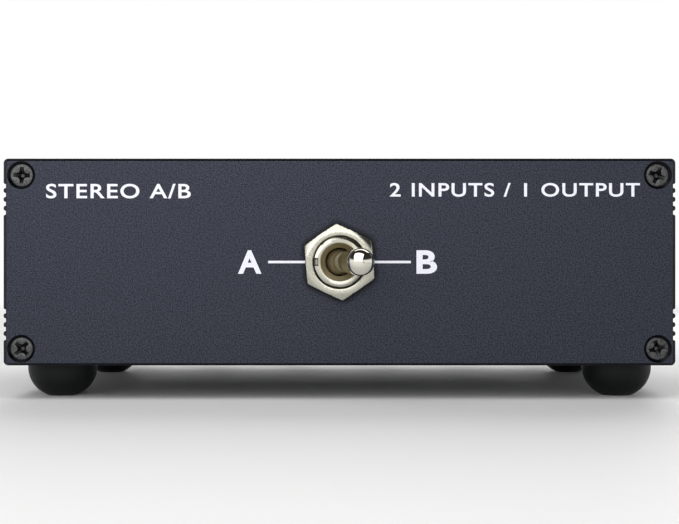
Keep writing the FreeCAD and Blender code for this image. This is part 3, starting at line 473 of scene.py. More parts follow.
# %% Tree helpers
def new_tree(name, *numbers, **others):
    """A tree with named inputs, the adder of nodes to it, and its input sockets."""
    tree = bpy.data.node_groups.new(name, "GeometryNodeTree")
    tree.interface.new_socket("Geometry", in_out="OUTPUT", socket_type="NodeSocketGeometry")
    kinds = {"Geometry": "Geometry"} | dict.fromkeys(numbers, "Float") | others
    for title, kind in (kinds | {"Finish": "Material"}).items():
        tree.interface.new_socket(title, in_out="INPUT", socket_type="NodeSocket" + kind)
    add = partial(add_node, tree)
    return tree, add, add("NodeGroupInput").outputs


def close_tree(add, given, geometry):
    """Ends a tree in Realize Instances and Set Material."""
    real = add("GeometryNodeRealizeInstances", [geometry])
    inputs = {"Geometry": real, "Material": given["Finish"]}
    add("NodeGroupOutput", [add("GeometryNodeSetMaterial", inputs)])


def run_tree(tree, name, mesh, finish, **values):
    """Runs a tree on a mesh, with its inputs set by name, and returns a plain mesh."""
    values["Finish"] = finishes[finish]
    piece = stand(name, mesh)
    modifier = piece.modifiers.new(tree.name, "NODES")
    modifier.node_group = tree
    for socket in tree.interface.items_tree:
        key = socket.name.replace(" ", "_")
        if socket.in_out == "INPUT" and key in values:
            modifier[socket.identifier] = values[key]
    return smooth(settle(piece, name))


def about_axis(add):
    """A point's x, y and z, its offset from the Y axis, and that offset's length and angle."""
    point = add("GeometryNodeInputPosition")
    x, y, z = add("ShaderNodeSeparateXYZ", [point]).outputs
    flat = add("ShaderNodeCombineXYZ", {"X": x, "Z": z})
    radius = add(VECTOR, [flat], operation="LENGTH").outputs["Value"]
    angle = add(MATH, [z, x], operation="ARCTAN2")
    return (x, y, z), flat, radius, angle


# %% [markdown]
# ### Rule 1: a wave in a turned wall
#
# A knurl is a ring of grooves, and a thread is one groove wound along a rod. Both come from one
# triangle wave: it counts grooves round the axis, and turns along it. The tree finds the points
# that lie on the outer wall and pulls them inwards by the wave. Near the ends of the wall the
# wave fades, as a real thread runs out.

# %% Grooves tree
WALL_MARGIN = 0.01 * MM  # a point this near to the wall's radius lies on the wall


def grooves_tree():
    tree, add, given = new_tree(
        "grooves", "Wall Radius", "Depth", "Around", "Along", "Start", "End", "Fade"
    )
    (_, y, _), flat, radius, angle = about_axis(add)
    turns = add(MATH, [angle, 2 * math.pi], operation="DIVIDE")
    around = add(MATH, [turns, given["Around"]], operation="MULTIPLY")
    phase = add(MATH, [y, given["Along"], around], operation="MULTIPLY_ADD")
    wave = add(MATH, [phase, 0.5], operation="PINGPONG")
    past_start = add(MATH, [y, given["Start"]], operation="SUBTRACT")
    to_end = add(MATH, [given["End"], y], operation="SUBTRACT")
    nearest = add(MATH, [past_start, to_end], operation="MINIMUM")
    fade = add(MATH, [nearest, given["Fade"]], operation="DIVIDE", use_clamp=True)
    cut = add(MATH, [wave, fade], operation="MULTIPLY")
    inwards = add(MATH, [given["Depth"], -2.0], operation="MULTIPLY")
    pull = add(MATH, [cut, inwards], operation="MULTIPLY")
    outwards = add(VECTOR, [flat], operation="NORMALIZE")
    offset = add(VECTOR, {0: outwards, "Scale": pull}, operation="SCALE")
    radii = {"A": radius, "B": given["Wall Radius"], "Epsilon": WALL_MARGIN}
    on_wall = add("FunctionNodeCompare", radii, data_type="FLOAT", operation="EQUAL")
    move = {"Geometry": given["Geometry"], "Selection": on_wall, "Offset": offset}
    close_tree(add, given, add("GeometryNodeSetPosition", move))
    return tree


grooves = grooves_tree()
print("grooves tree with", len(grooves.nodes), "nodes")

# %% [markdown]
# ### Rule 2: hollows or flats round a wall
#
# The grip of a cap is a cylinder with eight hollow flutes, and the nut is a disc with six flats.
# A flat is only a hollow with a very large radius, so one rule serves both. Cutting them with a
# Boolean would leave uneven faces. Instead, seen from the axis at an angle t from the middle of a
# hollow, its surface lies at D cos t - sqrt(R² - (D sin t)²), where R is the hollow's radius and D
# the distance of its centre. A point that lies further out than that is brought in to it, and the
# corner between two hollows is eased a little.

# %% Facets tree
def facets_tree():
    tree, add, given = new_tree(
        "facets", "Count", "Hollow Radius", "Waist Radius", "Turn", "Easing", "Start", "End"
    )
    (x, y, z), _, radius, angle = about_axis(add)
    hollow, waist = given["Hollow Radius"], given["Waist Radius"]
    turned = add(MATH, [angle, given["Turn"]], operation="SUBTRACT")
    sector = add(MATH, [2 * math.pi, given["Count"]], operation="DIVIDE")
    half = add(MATH, [sector, 0.5], operation="MULTIPLY")
    opposite = add(MATH, [half, -1.0], operation="MULTIPLY")
    within = add(MATH, [turned, half, opposite], operation="WRAP")
    distance = add(MATH, [waist, hollow], operation="ADD")
    along, across = (
        add(MATH, [distance, add(MATH, [within], operation=way)], operation="MULTIPLY")
        for way in ("COSINE", "SINE")
    )
    squares = [add(MATH, [side, side], operation="MULTIPLY") for side in (hollow, across)]
    left = add(MATH, squares, operation="SUBTRACT")
    root = add(MATH, [left], operation="SQRT")
    limit = add(MATH, [along, root], operation="SUBTRACT")
    eased = add(MATH, [radius, limit, given["Easing"]], operation="SMOOTH_MIN")
    shrink = add(MATH, [eased, radius], operation="DIVIDE")
    new_x, new_z = (add(MATH, [side, shrink], operation="MULTIPLY") for side in (x, z))
    placed = add("ShaderNodeCombineXYZ", [new_x, y, new_z])
    limits = []
    for end, way in (("Start", "GREATER_EQUAL"), ("End", "LESS_EQUAL")):
        heights = {"A": y, "B": given[end]}
        limits.append(add("FunctionNodeCompare", heights, data_type="FLOAT", operation=way))
    grip = add("FunctionNodeBooleanMath", limits, operation="AND")
    move = {"Geometry": given["Geometry"], "Selection": grip, "Position": placed}
    close_tree(add, given, add("GeometryNodeSetPosition", move))
    return tree


facets = facets_tree()
print("facets tree with", len(facets.nodes), "nodes")

# %% [markdown]
# ### Rule 3: a part set out on points
#
# Four screws or twelve posts are one part in several places. The tree puts the part on each point
# of a mesh. Every point carries, as an attribute, the angle by which the part is turned about its
# own axis, so that no two screws stop alike.

# %% Set-out tree
def set_out_tree():
    tree, add, given = new_tree("set_out", Part="Object")
    part = add("GeometryNodeObjectInfo", [given["Part"]]).outputs["Geometry"]
    stored = add("GeometryNodeInputNamedAttribute", ["turn"], data_type="FLOAT")
    axis_and_angle = [(0, 1, 0), stored.outputs["Attribute"]]
    rotation = add("FunctionNodeAxisAngleToRotation", axis_and_angle)
    inputs = {"Points": given["Geometry"], "Instance": part, "Rotation": rotation}
    close_tree(add, given, add("GeometryNodeInstanceOnPoints", inputs))
    return tree


def set_out(name, mesh, places, finish, turns):
    """One plain mesh with a part at every place, each turned by its own angle in radians."""
    points = bpy.data.meshes.new(name)
    points.from_pydata([tuple(place) for place in places], [], [])
    attribute = points.attributes.new("turn", "FLOAT", "POINT")
    attribute.data.foreach_set("value", turns)
    part = stand(name + "_part", mesh)
    grown = run_tree(set_out_rule, name, points, finish, Part=part)
    bpy.data.objects.remove(part)
    return grown


set_out_rule = set_out_tree()
print("set-out tree with", len(set_out_rule.nodes), "nodes")

# %% [markdown]
# ## Panel screws
#
# Eight countersunk screws with a cross recess hold the panels. The recess is what the eye finds
# first: dark wings, lobes of metal between them, and a thin bright line where the edge is broken.
# A painted cross would look flat from the side. So we turn the head on the lathe, cut the recess
# with a tapered cross, bevel the edges and set the result out on the panel's four corners.

# %% Screw head
PACKED_HEAD_RADIUS = 2.6
HEAD_RADIUS, HEAD_SINK, HEAD_EASING, HEAD_SEGMENTS = 2.72, 0.58, 0.15, 48
SHANK_RADIUS, SHANK_END = 1.2, 10.5
RECESS_SPAN, RECESS_WIDTH, RECESS_DEPTH, RECESS_POINT = 4.0, 0.9, 1.45, 0.8
RECESS_FLARE = 0.1
LOBE_SHARE, LOBE_SEGMENTS = 0.6, 6
EDGE_BREAK, EDGE_SEGMENTS, BREAK_EDGES_OVER = 0.07, 2, 50


def cross_outline(half_span, half_width, y):
    """A cross with rounded metal lobes between its wings."""
    lobe = (half_span - half_width) * LOBE_SHARE
    middle = half_width + lobe
    arc = rounded((middle, middle), lobe, 270, 180, LOBE_SEGMENTS)
    quarter = [(half_span, half_width), *arc, (half_width, half_span)]
    turns = [Matrix.Rotation(i * math.pi / 2, 2) for i in range(4)]
    points = [turn @ Vector(point) for turn in turns for point in quarter]
    return [Vector((x, y, z)) * MM for x, z in points]


def cross_cutter():
    """The tapered tool that cuts the recess."""
    taper = (RECESS_SPAN - RECESS_POINT) / 2 / RECESS_DEPTH
    rings = [
        (RECESS_SPAN / 2 + taper * HEAD_SINK, RECESS_WIDTH / 2 + RECESS_FLARE, 0),
        (RECESS_SPAN / 2, RECESS_WIDTH / 2, HEAD_SINK),
        (RECESS_POINT / 2, RECESS_WIDTH / 3, HEAD_SINK + RECESS_DEPTH),
    ]
    work = bmesh.new()
    loops = [[work.verts.new(point) for point in cross_outline(*ring)] for ring in rings]
    for loop, onward in zip(loops, loops[1:]):
        for i in range(len(loop)):
            work.faces.new((loop[i - 1], loop[i], onward[i], onward[i - 1]))
    work.faces.new(loops[0])
    work.faces.new(loops[-1])
    return as_mesh("cross_cutter", work)


def cut_away(mesh, cutter_mesh, edge_break=0.0):
    """A mesh less a cutter, with the edges of the cut broken by a bevel in millimetres."""
    piece, cutter = stand("blank", mesh), stand("cutter", cutter_mesh)
    boolean = piece.modifiers.new("cut", "BOOLEAN")
    boolean.operation, boolean.solver, boolean.object = "DIFFERENCE", "EXACT", cutter
    if edge_break:
        edge = piece.modifiers.new("edge", "BEVEL")
        edge.width, edge.segments = edge_break * MM, EDGE_SEGMENTS
        edge.limit_method, edge.angle_limit = "ANGLE", math.radians(BREAK_EDGES_OVER)
    cut = settle(piece, mesh.name)
    bpy.data.objects.remove(cutter)
    return cut


def panel_screw():
    rim = (HEAD_RADIUS - HEAD_EASING, HEAD_SINK + HEAD_EASING)
    seat = HEAD_SINK + HEAD_EASING + HEAD_RADIUS - SHANK_RADIUS
    profile = [(0, HEAD_SINK)] + rounded(rim, HEAD_EASING, -90, 0, 3)
    profile += [(SHANK_RADIUS, seat), (SHANK_RADIUS, SHANK_END - SHANK_RADIUS), (0, SHANK_END)]
    return cut_away(lathe("panel_screw", profile, HEAD_SEGMENTS), cross_cutter(), EDGE_BREAK)


screw = panel_screw()
print("screw with", len(screw.polygons), "faces")

# %% [markdown]
# Each screw is turned as the assembler left it. The turns are measured clockwise, looking at each
# screw's head. A rear screw is the front one turned half round about the upright axis, and then
# its own axis points the other way, so the sign of its turn changes too. The finished screws take
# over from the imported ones, as every refined piece does: they ride on the same body, and their
# finish has the same slot.

# %% Set out the screws
SCREW_TURNS = {"front_panel_screws": (2, 23, 45, -14), "rear_panel_screws": (-17, -26, -28, 27)}


def take_over(node, name, mesh, finish=None):
    """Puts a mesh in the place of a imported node, on its body and in its slot."""
    piece = stand(name, mesh)
    put_on(piece, finish or SLOT_OF[node])
    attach(piece, BODY_OF[node])
    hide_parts(node)
    print(name, "with", len(mesh.polygons), "faces")
    return piece


def screw_places(node):
    """The axes of the four screws in one node, at the outer face of their panel."""
    low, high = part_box(node)
    reach_x = high.x - PACKED_HEAD_RADIUS * MM
    reach_z = high.z - MIDDLE - PACKED_HEAD_RADIUS * MM
    face = FRONT if node.startswith("front") else REAR
    return [Vector((x * reach_x, face, MIDDLE + z * reach_z)) for x, z in CORNERS]


for node, turns in SCREW_TURNS.items():
    part, sign = screw.copy(), 1
    if node.startswith("rear"):
        part.transform(Matrix.Rotation(math.pi, 4, "Z"))
        sign = -1
    radians = [sign * math.radians(turn) for turn in turns]
    name = node.replace("screws", "screw_set")
    take_over(node, name, set_out(name, part, screw_places(node), SLOT_OF[node], radians))

# %% [markdown]
# ## The posts' metal
#
# Inside each clear cap a gold-plated core runs on a threaded stem, and a knurled collar sits at
# the foot of the post. A bump map would tint the collar's fine teeth but leave its outline round.
# So the teeth are cut into the wall, and show through the clear base as a row of dots.

# %% Knurled collars
COLLAR_RADIUS, COLLAR_FOOT, COLLAR_TOP, COLLAR_CHAMFER = 6.1, 1.2, 6.2, 0.4
STEM_BORE = 3.05
KNURL_TEETH, KNURL_DEPTH = 60, 0.28
POST_TURNS = [0.0 if place.z > MIDDLE else math.pi for place in POSTS.values()]


def grooved(name, profile, segments, finish, radius, depth, around, pitch, start, end, fade):
    """A turned piece with grooves in its wall; a knurl has teeth around, a thread has a pitch."""
    return run_tree(
        grooves,
        name,
        lathe(name, profile, segments),
        finish,
        Wall_Radius=radius * MM,
        Depth=depth * MM,
        Around=float(around),
        Along=1 / (pitch * MM) if pitch else 0.0,
        Start=start * MM,
        End=end * MM,
        Fade=fade * MM,
    )


def knurled(name, profile, radius, teeth, depth):
    """A turned gold-plated piece with a straight knurl along the whole of its wall."""
    end = max(y for _, y in profile) + 1
    teeth_points, finish = 2 * teeth, "gold_plated_brass"
    return grooved(name, profile, teeth_points, finish, radius, depth, teeth, None, 0, end, depth)


def post_set(name, mesh, node, finish=None):
    """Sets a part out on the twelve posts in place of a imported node."""
    finish = finish or SLOT_OF[node]
    take_over(node, name, set_out(name, mesh, POSTS.values(), finish, POST_TURNS), finish)


collar_profile = [
    (STEM_BORE, COLLAR_FOOT),
    (COLLAR_RADIUS - COLLAR_CHAMFER, COLLAR_FOOT),
    (COLLAR_RADIUS, COLLAR_FOOT + COLLAR_CHAMFER),
    (COLLAR_RADIUS, COLLAR_TOP - COLLAR_CHAMFER),
    (COLLAR_RADIUS - COLLAR_CHAMFER, COLLAR_TOP),
    (STEM_BORE, COLLAR_TOP),
]
collar = knurled("knurled_collar", collar_profile, COLLAR_RADIUS, KNURL_TEETH, KNURL_DEPTH)
post_set("knurled_collars", collar, "post_collars")

# %% [markdown]
# The clear cup under each collar has a thin foot flange and a bevelled rim. A Bevel modifier would
# ease all edges alike, so the eased edges are arcs in the profile, and each of them catches the
# light as a fine white line.

# %% Clear bases
BASE_RADIUS, BASE_HEIGHT, BASE_BEVEL, BASE_EASING, BASE_SEGMENTS = 8.0, 4.5, 0.7, 0.12, 64
FOOT_FLANGE, FLANGE_STEP, CUP_RADIUS = 0.9, 0.4, 6.2


def clear_base():
    easing, wall = BASE_EASING, BASE_RADIUS - FLANGE_STEP
    shoulder = BASE_HEIGHT - BASE_BEVEL
    profile = [(STEM_BORE, 0), (BASE_RADIUS - easing, 0)]
    profile += rounded((BASE_RADIUS - easing, easing), easing, -90, 0, 3)
    profile += rounded((BASE_RADIUS - easing, FOOT_FLANGE - easing), easing, 0, 90, 3)
    profile += rounded((wall + easing, FOOT_FLANGE + easing), easing, 270, 180, 3)
    profile += [(wall, shoulder - easing), (wall - easing / 2, shoulder)]
    profile += [(wall - BASE_BEVEL + easing / 2, BASE_HEIGHT - easing / 2)]
    profile += [(wall - BASE_BEVEL - easing / 2, BASE_HEIGHT)]
    profile += [(CUP_RADIUS + easing, BASE_HEIGHT), (CUP_RADIUS, BASE_HEIGHT - easing)]
    profile += [(CUP_RADIUS, COLLAR_FOOT), (STEM_BORE, COLLAR_FOOT)]
    return lathe("clear_base", profile, BASE_SEGMENTS)


post_set("clear_bases", clear_base(), "post_bases", "turned_polycarbonate")

# %% [markdown]
# The stem is a gold-plated rod with a socket for a plug in its end and a cross hole for bare
# wire. Its thread shows only when the cap is run out. The thread is the same rule as the knurl,
# with one groove round the axis and a pitch along it, and the hole is drilled with a Boolean.

# %% Threaded stems
STEM_RADIUS, STEM_FRONT, STEM_BACK, STEM_CHAMFER, STEM_SEGMENTS = 3.0, 18.3, -13.0, 0.3, 32
SOCKET_RADIUS, SOCKET_DEPTH, SOCKET_POINT, SOCKET_EASING = 2.05, 14.4, 1.2, 0.1
THREAD_START, THREAD_PITCH, THREAD_DEPTH = 6.0, 1.0, 0.3
ROWS_PER_PITCH = 6
WIRE_HOLE_RADIUS, WIRE_HOLE_PLACE, WIRE_HOLE_SEGMENTS = 1.5, 8.3, 24


def drill(mesh, wall, radius, y, segments):
    """A mesh with a hole along Z, straight through its wall."""
    reach = wall + 1
    hole = lathe("hole", [(0, -reach), (radius, -reach), (radius, reach), (0, reach)], segments)
    hole.transform(Matrix.Rotation(math.pi / 2, 4, "X"))
    hole.transform(Matrix.Translation((0, y * MM, 0)))
    return cut_away(mesh, hole)


def threaded_stem():
    wall_end = STEM_FRONT - STEM_CHAMFER
    rows = round((wall_end - THREAD_START) / THREAD_PITCH * ROWS_PER_PITCH)
    bottom = STEM_FRONT - SOCKET_DEPTH
    radius, chamfer, socket = STEM_RADIUS, STEM_CHAMFER, SOCKET_RADIUS
    profile = [(0, STEM_BACK), (radius - chamfer, STEM_BACK), (radius, STEM_BACK + chamfer)]
    profile += steps((radius, THREAD_START), (radius, wall_end), rows)
    profile += [(radius, wall_end), (radius - chamfer, STEM_FRONT)]
    profile += [(socket + SOCKET_EASING, STEM_FRONT), (socket, STEM_FRONT - SOCKET_EASING)]
    profile += [(socket, bottom), (0, bottom - SOCKET_POINT)]
    thread = (radius, THREAD_DEPTH, 1, THREAD_PITCH, THREAD_START, wall_end, THREAD_PITCH)
    stem = grooved("threaded_stem", profile, STEM_SEGMENTS, "gold_plated_brass", *thread)
    stem = drill(stem, radius, WIRE_HOLE_RADIUS, WIRE_HOLE_PLACE, WIRE_HOLE_SEGMENTS)
    return smooth(stem)


post_set("threaded_stems", threaded_stem(), "post_stems")

# %% [markdown]
# ## Caps and their cores
#
# Each cap turns by itself, so each is a piece of its own and rides on its own body. The grip has
# eight hollow flutes with crisp corners, then a neck and a round flange. Clear plastic bends what
# is behind it, so the inside has to be modelled as well as the outside: the bore, the seat of the
# core's flange, and the core itself with its straight knurl.

# %% Cap and core profiles
CAP_START, CAP_END = 6.4, 20.0
FLANGE_RADIUS, FLANGE_HEIGHT, FLANGE_EASING = 7.1, 2.8, 0.35
NECK_RADIUS, NECK_HEIGHT, BELOW_GRIP = 6.2, 0.6, 0.01
GRIP_RADIUS, GRIP_EASING, GRIP_ROUNDING, CAP_FACE_RADIUS = 7.0, 0.2, 1.4, 6.0
CORE_BORE, BORE_EASING, SEAT_RADIUS, SEAT_HEIGHT = 4.69, 0.15, 5.24, 1.14
FLUTES, FLUTE_RADIUS, FLUTE_WAIST, FLUTE_EASING, POINTS_PER_FLUTE = 8, 9.0, 6.25, 0.15, 12
CORE_RADIUS, CORE_FLANGE_RADIUS, CORE_FLANGE, CORE_CHAMFER = 4.65, 5.2, 1.0, 0.15
CORE_START, CORE_END = 6.5, 19.0
CORE_TEETH, CORE_KNURL_DEPTH = 36, 0.2


def fluted_cap():
    flange_end = CAP_START + FLANGE_HEIGHT
    grip_start = flange_end + NECK_HEIGHT
    easing, crisp = FLANGE_EASING, GRIP_EASING
    to_face = GRIP_RADIUS - CAP_FACE_RADIUS
    profile = [(SEAT_RADIUS, CAP_START)]
    profile += rounded((FLANGE_RADIUS - easing, CAP_START + easing), easing, -90, 0, 3)
    profile += rounded((FLANGE_RADIUS - easing, flange_end - easing), easing, 0, 90, 3)
    profile += [(NECK_RADIUS, flange_end), (NECK_RADIUS, grip_start - BELOW_GRIP)]
    profile += rounded((GRIP_RADIUS - crisp, grip_start + crisp), crisp, -90, 0, 2)
    profile += rounded((CAP_FACE_RADIUS, CAP_END - GRIP_ROUNDING), to_face, 0, 90, 6, GRIP_ROUNDING)
    profile += [(CORE_BORE + BORE_EASING, CAP_END), (CORE_BORE, CAP_END - BORE_EASING)]
    profile += [(CORE_BORE, CAP_START + SEAT_HEIGHT), (SEAT_RADIUS, CAP_START + SEAT_HEIGHT)]
    return run_tree(
        facets,
        "fluted_cap",
        lathe("fluted_cap", profile, POINTS_PER_FLUTE * FLUTES),
        "clear_polycarbonate",
        Count=float(FLUTES),
        Hollow_Radius=FLUTE_RADIUS * MM,
        Waist_Radius=FLUTE_WAIST * MM,
        Turn=math.pi / FLUTES,
        Easing=FLUTE_EASING * MM,
        Start=grip_start * MM,
        End=(CAP_END + 1) * MM,
    )


core_profile = [
    (STEM_BORE, CORE_START),
    (CORE_FLANGE_RADIUS, CORE_START),
    (CORE_FLANGE_RADIUS, CORE_START + CORE_FLANGE),
    (CORE_RADIUS - CORE_KNURL_DEPTH, CORE_START + CORE_FLANGE),
    (CORE_RADIUS, CORE_START + CORE_FLANGE + CORE_KNURL_DEPTH),
    (CORE_RADIUS, CORE_END - CORE_CHAMFER),
    (CORE_RADIUS - CORE_CHAMFER, CORE_END),
    (STEM_BORE + CORE_CHAMFER, CORE_END),
    (STEM_BORE, CORE_END - CORE_CHAMFER),
]
cap = fluted_cap()
core = knurled("knurled_core", core_profile, CORE_RADIUS, CORE_TEETH, CORE_KNURL_DEPTH)
print("cap with", len(cap.polygons), "faces, core with", len(core.polygons))

# %% [markdown]
# The set-out tree would join all twelve caps into one piece, and then none could turn alone. So a
# plain loop copies the cap and the core to each post, and each copy rides on the body of the
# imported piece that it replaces.

# %% Put a cap and a core on each post
def moved_to(place, mesh):
    """A copy of a mesh at its place."""
    copy = mesh.copy()
    copy.transform(Matrix.Translation(place))
    return copy


for number, place in POSTS.items():
    take_over(f"post_cap_{number}", f"fluted_cap_{number}", moved_to(place, cap))
    take_over(f"post_insert_{number}", f"knurled_core_{number}", moved_to(place, core))

# %% [markdown]
# ## The toggle's bushing and nut
#
# The lever comes out of a threaded bushing with a keyway on its left. Its front end is a flat
# ring round a stepped mouth. The thread shows as a dark line between the ring and the nut, and in
# full from the side. The grooves tree cuts it, and then the hole for the lever's pin and the
# keyway are cut away, in a maker's order.

# %% Threaded bushing
BUSHING_RADIUS, BUSHING_REACH, BUSHING_SEGMENTS = 5.95, 4.5, 72
MOUTH_RADIUS, MOUTH_DEPTH, MOUTH_CONE, BORE_RADIUS = 4.45, 3.7, 0.8, 3.4
FACE_RADIUS, FACE_BEVEL, FACE_CROWN, CROWN_WIDTH = 5.4, 0.3, 0.06, 0.3
BUSHING_EASING, STEP_HEIGHT = 0.1, 0.2
THROAT_START, THROAT_RADIUS = 5.0, 4.4
FRAME_DEPTH, SPIGOT_RADIUS, SPIGOT_END = 6.5, 5.2, 7.7
BUSHING_PITCH, BUSHING_THREAD_DEPTH, THREAD_LEAD, THREAD_FADE = 0.75, 0.35, 40.0, 0.05
KEYWAY_WIDTH, KEYWAY_DEPTH = 1.9, 1.0
PIN_HOLE_RADIUS, PIN_HOLE_SEGMENTS, PIVOT_DEPTH = 0.79, 20, 3.0


def block_mesh(name, low, high):
    """A closed block between two corners in millimetres."""
    work = bmesh.new()
    bmesh.ops.create_cube(work, size=1.0)
    for vertex in work.verts:
        vertex.co = Vector([a if c < 0 else b for c, a, b in zip(vertex.co, low, high)]) * MM
    return as_mesh(name, work)


def threaded_bushing():
    face, wall_start = -BUSHING_REACH, FACE_BEVEL - BUSHING_REACH
    rows = round((FRAME_DEPTH - wall_start) / BUSHING_PITCH * ROWS_PER_PITCH)
    easing, mouth, floor = BUSHING_EASING, MOUTH_RADIUS, MOUTH_DEPTH - BUSHING_REACH
    profile = [(mouth + easing, FACE_CROWN + face), (mouth + CROWN_WIDTH, face)]
    profile += [(FACE_RADIUS, face)]
    profile += steps((BUSHING_RADIUS, wall_start), (BUSHING_RADIUS, FRAME_DEPTH), rows)
    profile += [(BUSHING_RADIUS, FRAME_DEPTH), (SPIGOT_RADIUS, FRAME_DEPTH)]
    profile += [(SPIGOT_RADIUS, SPIGOT_END), (THROAT_RADIUS, SPIGOT_END)]
    profile += [(BORE_RADIUS, THROAT_START), (BORE_RADIUS, floor + STEP_HEIGHT)]
    profile += [(BORE_RADIUS + easing, floor), (mouth - easing, floor - MOUTH_CONE)]
    profile += [(mouth, floor - MOUTH_CONE - STEP_HEIGHT), (mouth, FACE_CROWN + easing + face)]
    thread = (BUSHING_RADIUS, BUSHING_THREAD_DEPTH, 1, BUSHING_PITCH)
    thread += (wall_start - easing, FRAME_DEPTH, THREAD_FADE)
    mesh = grooved("threaded_bushing", profile, BUSHING_SEGMENTS, "greased_bushing", *thread)
    mesh.transform(Matrix.Rotation(math.radians(THREAD_LEAD), 4, "Y"))
    mesh = drill(mesh, BUSHING_RADIUS, PIN_HOLE_RADIUS, PIVOT_DEPTH, PIN_HOLE_SEGMENTS)
    low = (-BUSHING_RADIUS - 1, face - 1, -KEYWAY_WIDTH / 2)
    high = (KEYWAY_DEPTH - BUSHING_RADIUS, FRAME_DEPTH, KEYWAY_WIDTH / 2)
    return smooth(cut_away(mesh, block_mesh("keyway", low, high)))


TOGGLE = Vector((0, FRONT, MIDDLE))
bushing = moved_to(TOGGLE, threaded_bushing())
take_over("toggle_bushing", "threaded_bushing", bushing, "greased_bushing")

# %% [markdown]
# The nut is turned with a chamfer before its flats are milled, which leaves a circle on its face
# and takes the points off its corners. The same order makes the model: a round blank with a
# chamfer comes off the lathe, and the facets tree cuts six flats, each a hollow of one metre
# radius.

# %% Hexagon nut
NUT_THICKNESS, NUT_FLATS, NUT_TURN, NUT_SEGMENTS = 2.5, 16.0, 4.6, 144
NUT_BORE, NUT_CHAMFER_RADIUS, NUT_CHAMFER_ANGLE, CHAMFER_STEPS = 6.0, 7.85, 30.0, 6
NUT_MOUTH, NUT_MOUTH_DEPTH, NUT_CROWN = 6.45, 0.8, 0.08
MOUTH_EASING, CROWN_START, CROWN_DROP = 0.25, 0.8, 0.01
NUT_CORNER = NUT_FLATS / 2 / math.cos(math.pi / 6)
NUT_BLANK = NUT_CORNER + 0.1
NUT_EASING, FLAT_HOLLOW = 0.2, 1.0


def hexagon_nut():
    drop = (NUT_CORNER - NUT_CHAMFER_RADIUS) * math.tan(math.radians(NUT_CHAMFER_ANGLE))
    face, edge = -NUT_THICKNESS, NUT_CROWN - NUT_THICKNESS
    profile = [(NUT_BORE, 0), (NUT_BORE, NUT_MOUTH_DEPTH + face)]
    profile += [(NUT_MOUTH, NUT_CROWN / 2 + face), (NUT_MOUTH + MOUTH_EASING, face)]
    profile += [(NUT_MOUTH + CROWN_START, CROWN_DROP + face)]
    profile += steps((NUT_CHAMFER_RADIUS, edge), (NUT_BLANK, edge + drop), CHAMFER_STEPS)
    profile += [(NUT_BLANK, edge + drop), (NUT_BLANK, 0)]
    return run_tree(
        facets,
        "hexagon_nut",
        lathe("hexagon_nut", profile, NUT_SEGMENTS),
        "bright_nickel",
        Count=6.0,
        Hollow_Radius=FLAT_HOLLOW,
        Waist_Radius=NUT_FLATS / 2 * MM,
        Turn=math.radians(NUT_TURN),
        Easing=NUT_EASING * MM,
        Start=face * MM,
        End=0.0,
    )


take_over("panel_nut", "hexagon_nut", moved_to(TOGGLE, hexagon_nut()))

# %% [markdown]
# ## The plunger's spring
#
# Inside the lever a small coil spring presses the plunger back, so that the lever snaps over.
# When the plunger is pushed in, the spring has to get shorter, which a rigid piece can't. Here a
# copy of the imported coil takes its place, with a mesh of its own. The imported coil is loose
# triangles, so the copy's doubles are merged first.

# %% Coil spring
SPRING_NODE, SPRING_JOINT = "plunger_spring", "plunger_travel"
DOUBLES_WITHIN = 1e-4 * MM


def coil_spring():
    """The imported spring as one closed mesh."""
    work = bmesh.new()
    work.from_mesh(frame["nodes"][SPRING_NODE].data)
    bmesh.ops.remove_doubles(work, verts=work.verts, dist=DOUBLES_WITHIN)
    return smooth(as_mesh("coil_spring", work))


spring = take_over(SPRING_NODE, "coil_spring", coil_spring())
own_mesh(spring)

# %% [markdown]
# ## Print
#
# The panels carry screen-printed letters and lines, about 0.02 mm thick. Blender's built-in font
# is thinner than the print, so its outline is swelled, and each text is then scaled to the height
# and width that it has on the panel. The texts are generic: they say what the part is, and not
# who made it.

# %% Print
INK, TRACKING, TEXT_SLAB, CURVE_STEPS = 0.02, 1.12, 0.5, 6
COLUMNS, PAIR_HALF = (-51.8, 0.0, 51.8), 13.5
BOLD, MEDIUM, LIGHT = 0.035, 0.03, 0.015
LETTER_SWELL = 0.025

# Each text has its middle, as seen from in front of its panel, its width and height, and its swell.
FRONT_TEXTS = [
    ("A", -21.4, 0.0, 5.6, 5.6, MEDIUM),
    ("B", 20.8, 0.0, 4.9, 5.6, MEDIUM),
    ("STEREO A/B", -52.7, 16.9, 34.5, 3.5, LIGHT),
    ("2 INPUTS / 1 OUTPUT", 41.8, 17.2, 59.6, 3.3, LIGHT),
]
REAR_WORDS = (("INPUT B", 17.4), ("OUTPUT", 18.8), ("INPUT A", 17.4))
REAR_TEXTS = [(text, x, -0.5, width, 4.0, BOLD) for x, (text, width) in zip(COLUMNS, REAR_WORDS)]
REAR_TEXTS += [
    (letter, x + side * PAIR_HALF, -0.5, width, 4.0, LETTER_SWELL)
    for x in COLUMNS
    for letter, side, width in (("R", -1, 3.8), ("L", 1, 3.0))
]
FRONT_LINES = [(x, 0.0, 8.8, 0.6) for x in (-12.6, 12.6)]
REAR_LINES = [(x, 0.0, 0.7, 48.6) for x in (-26.0, 26.0)]


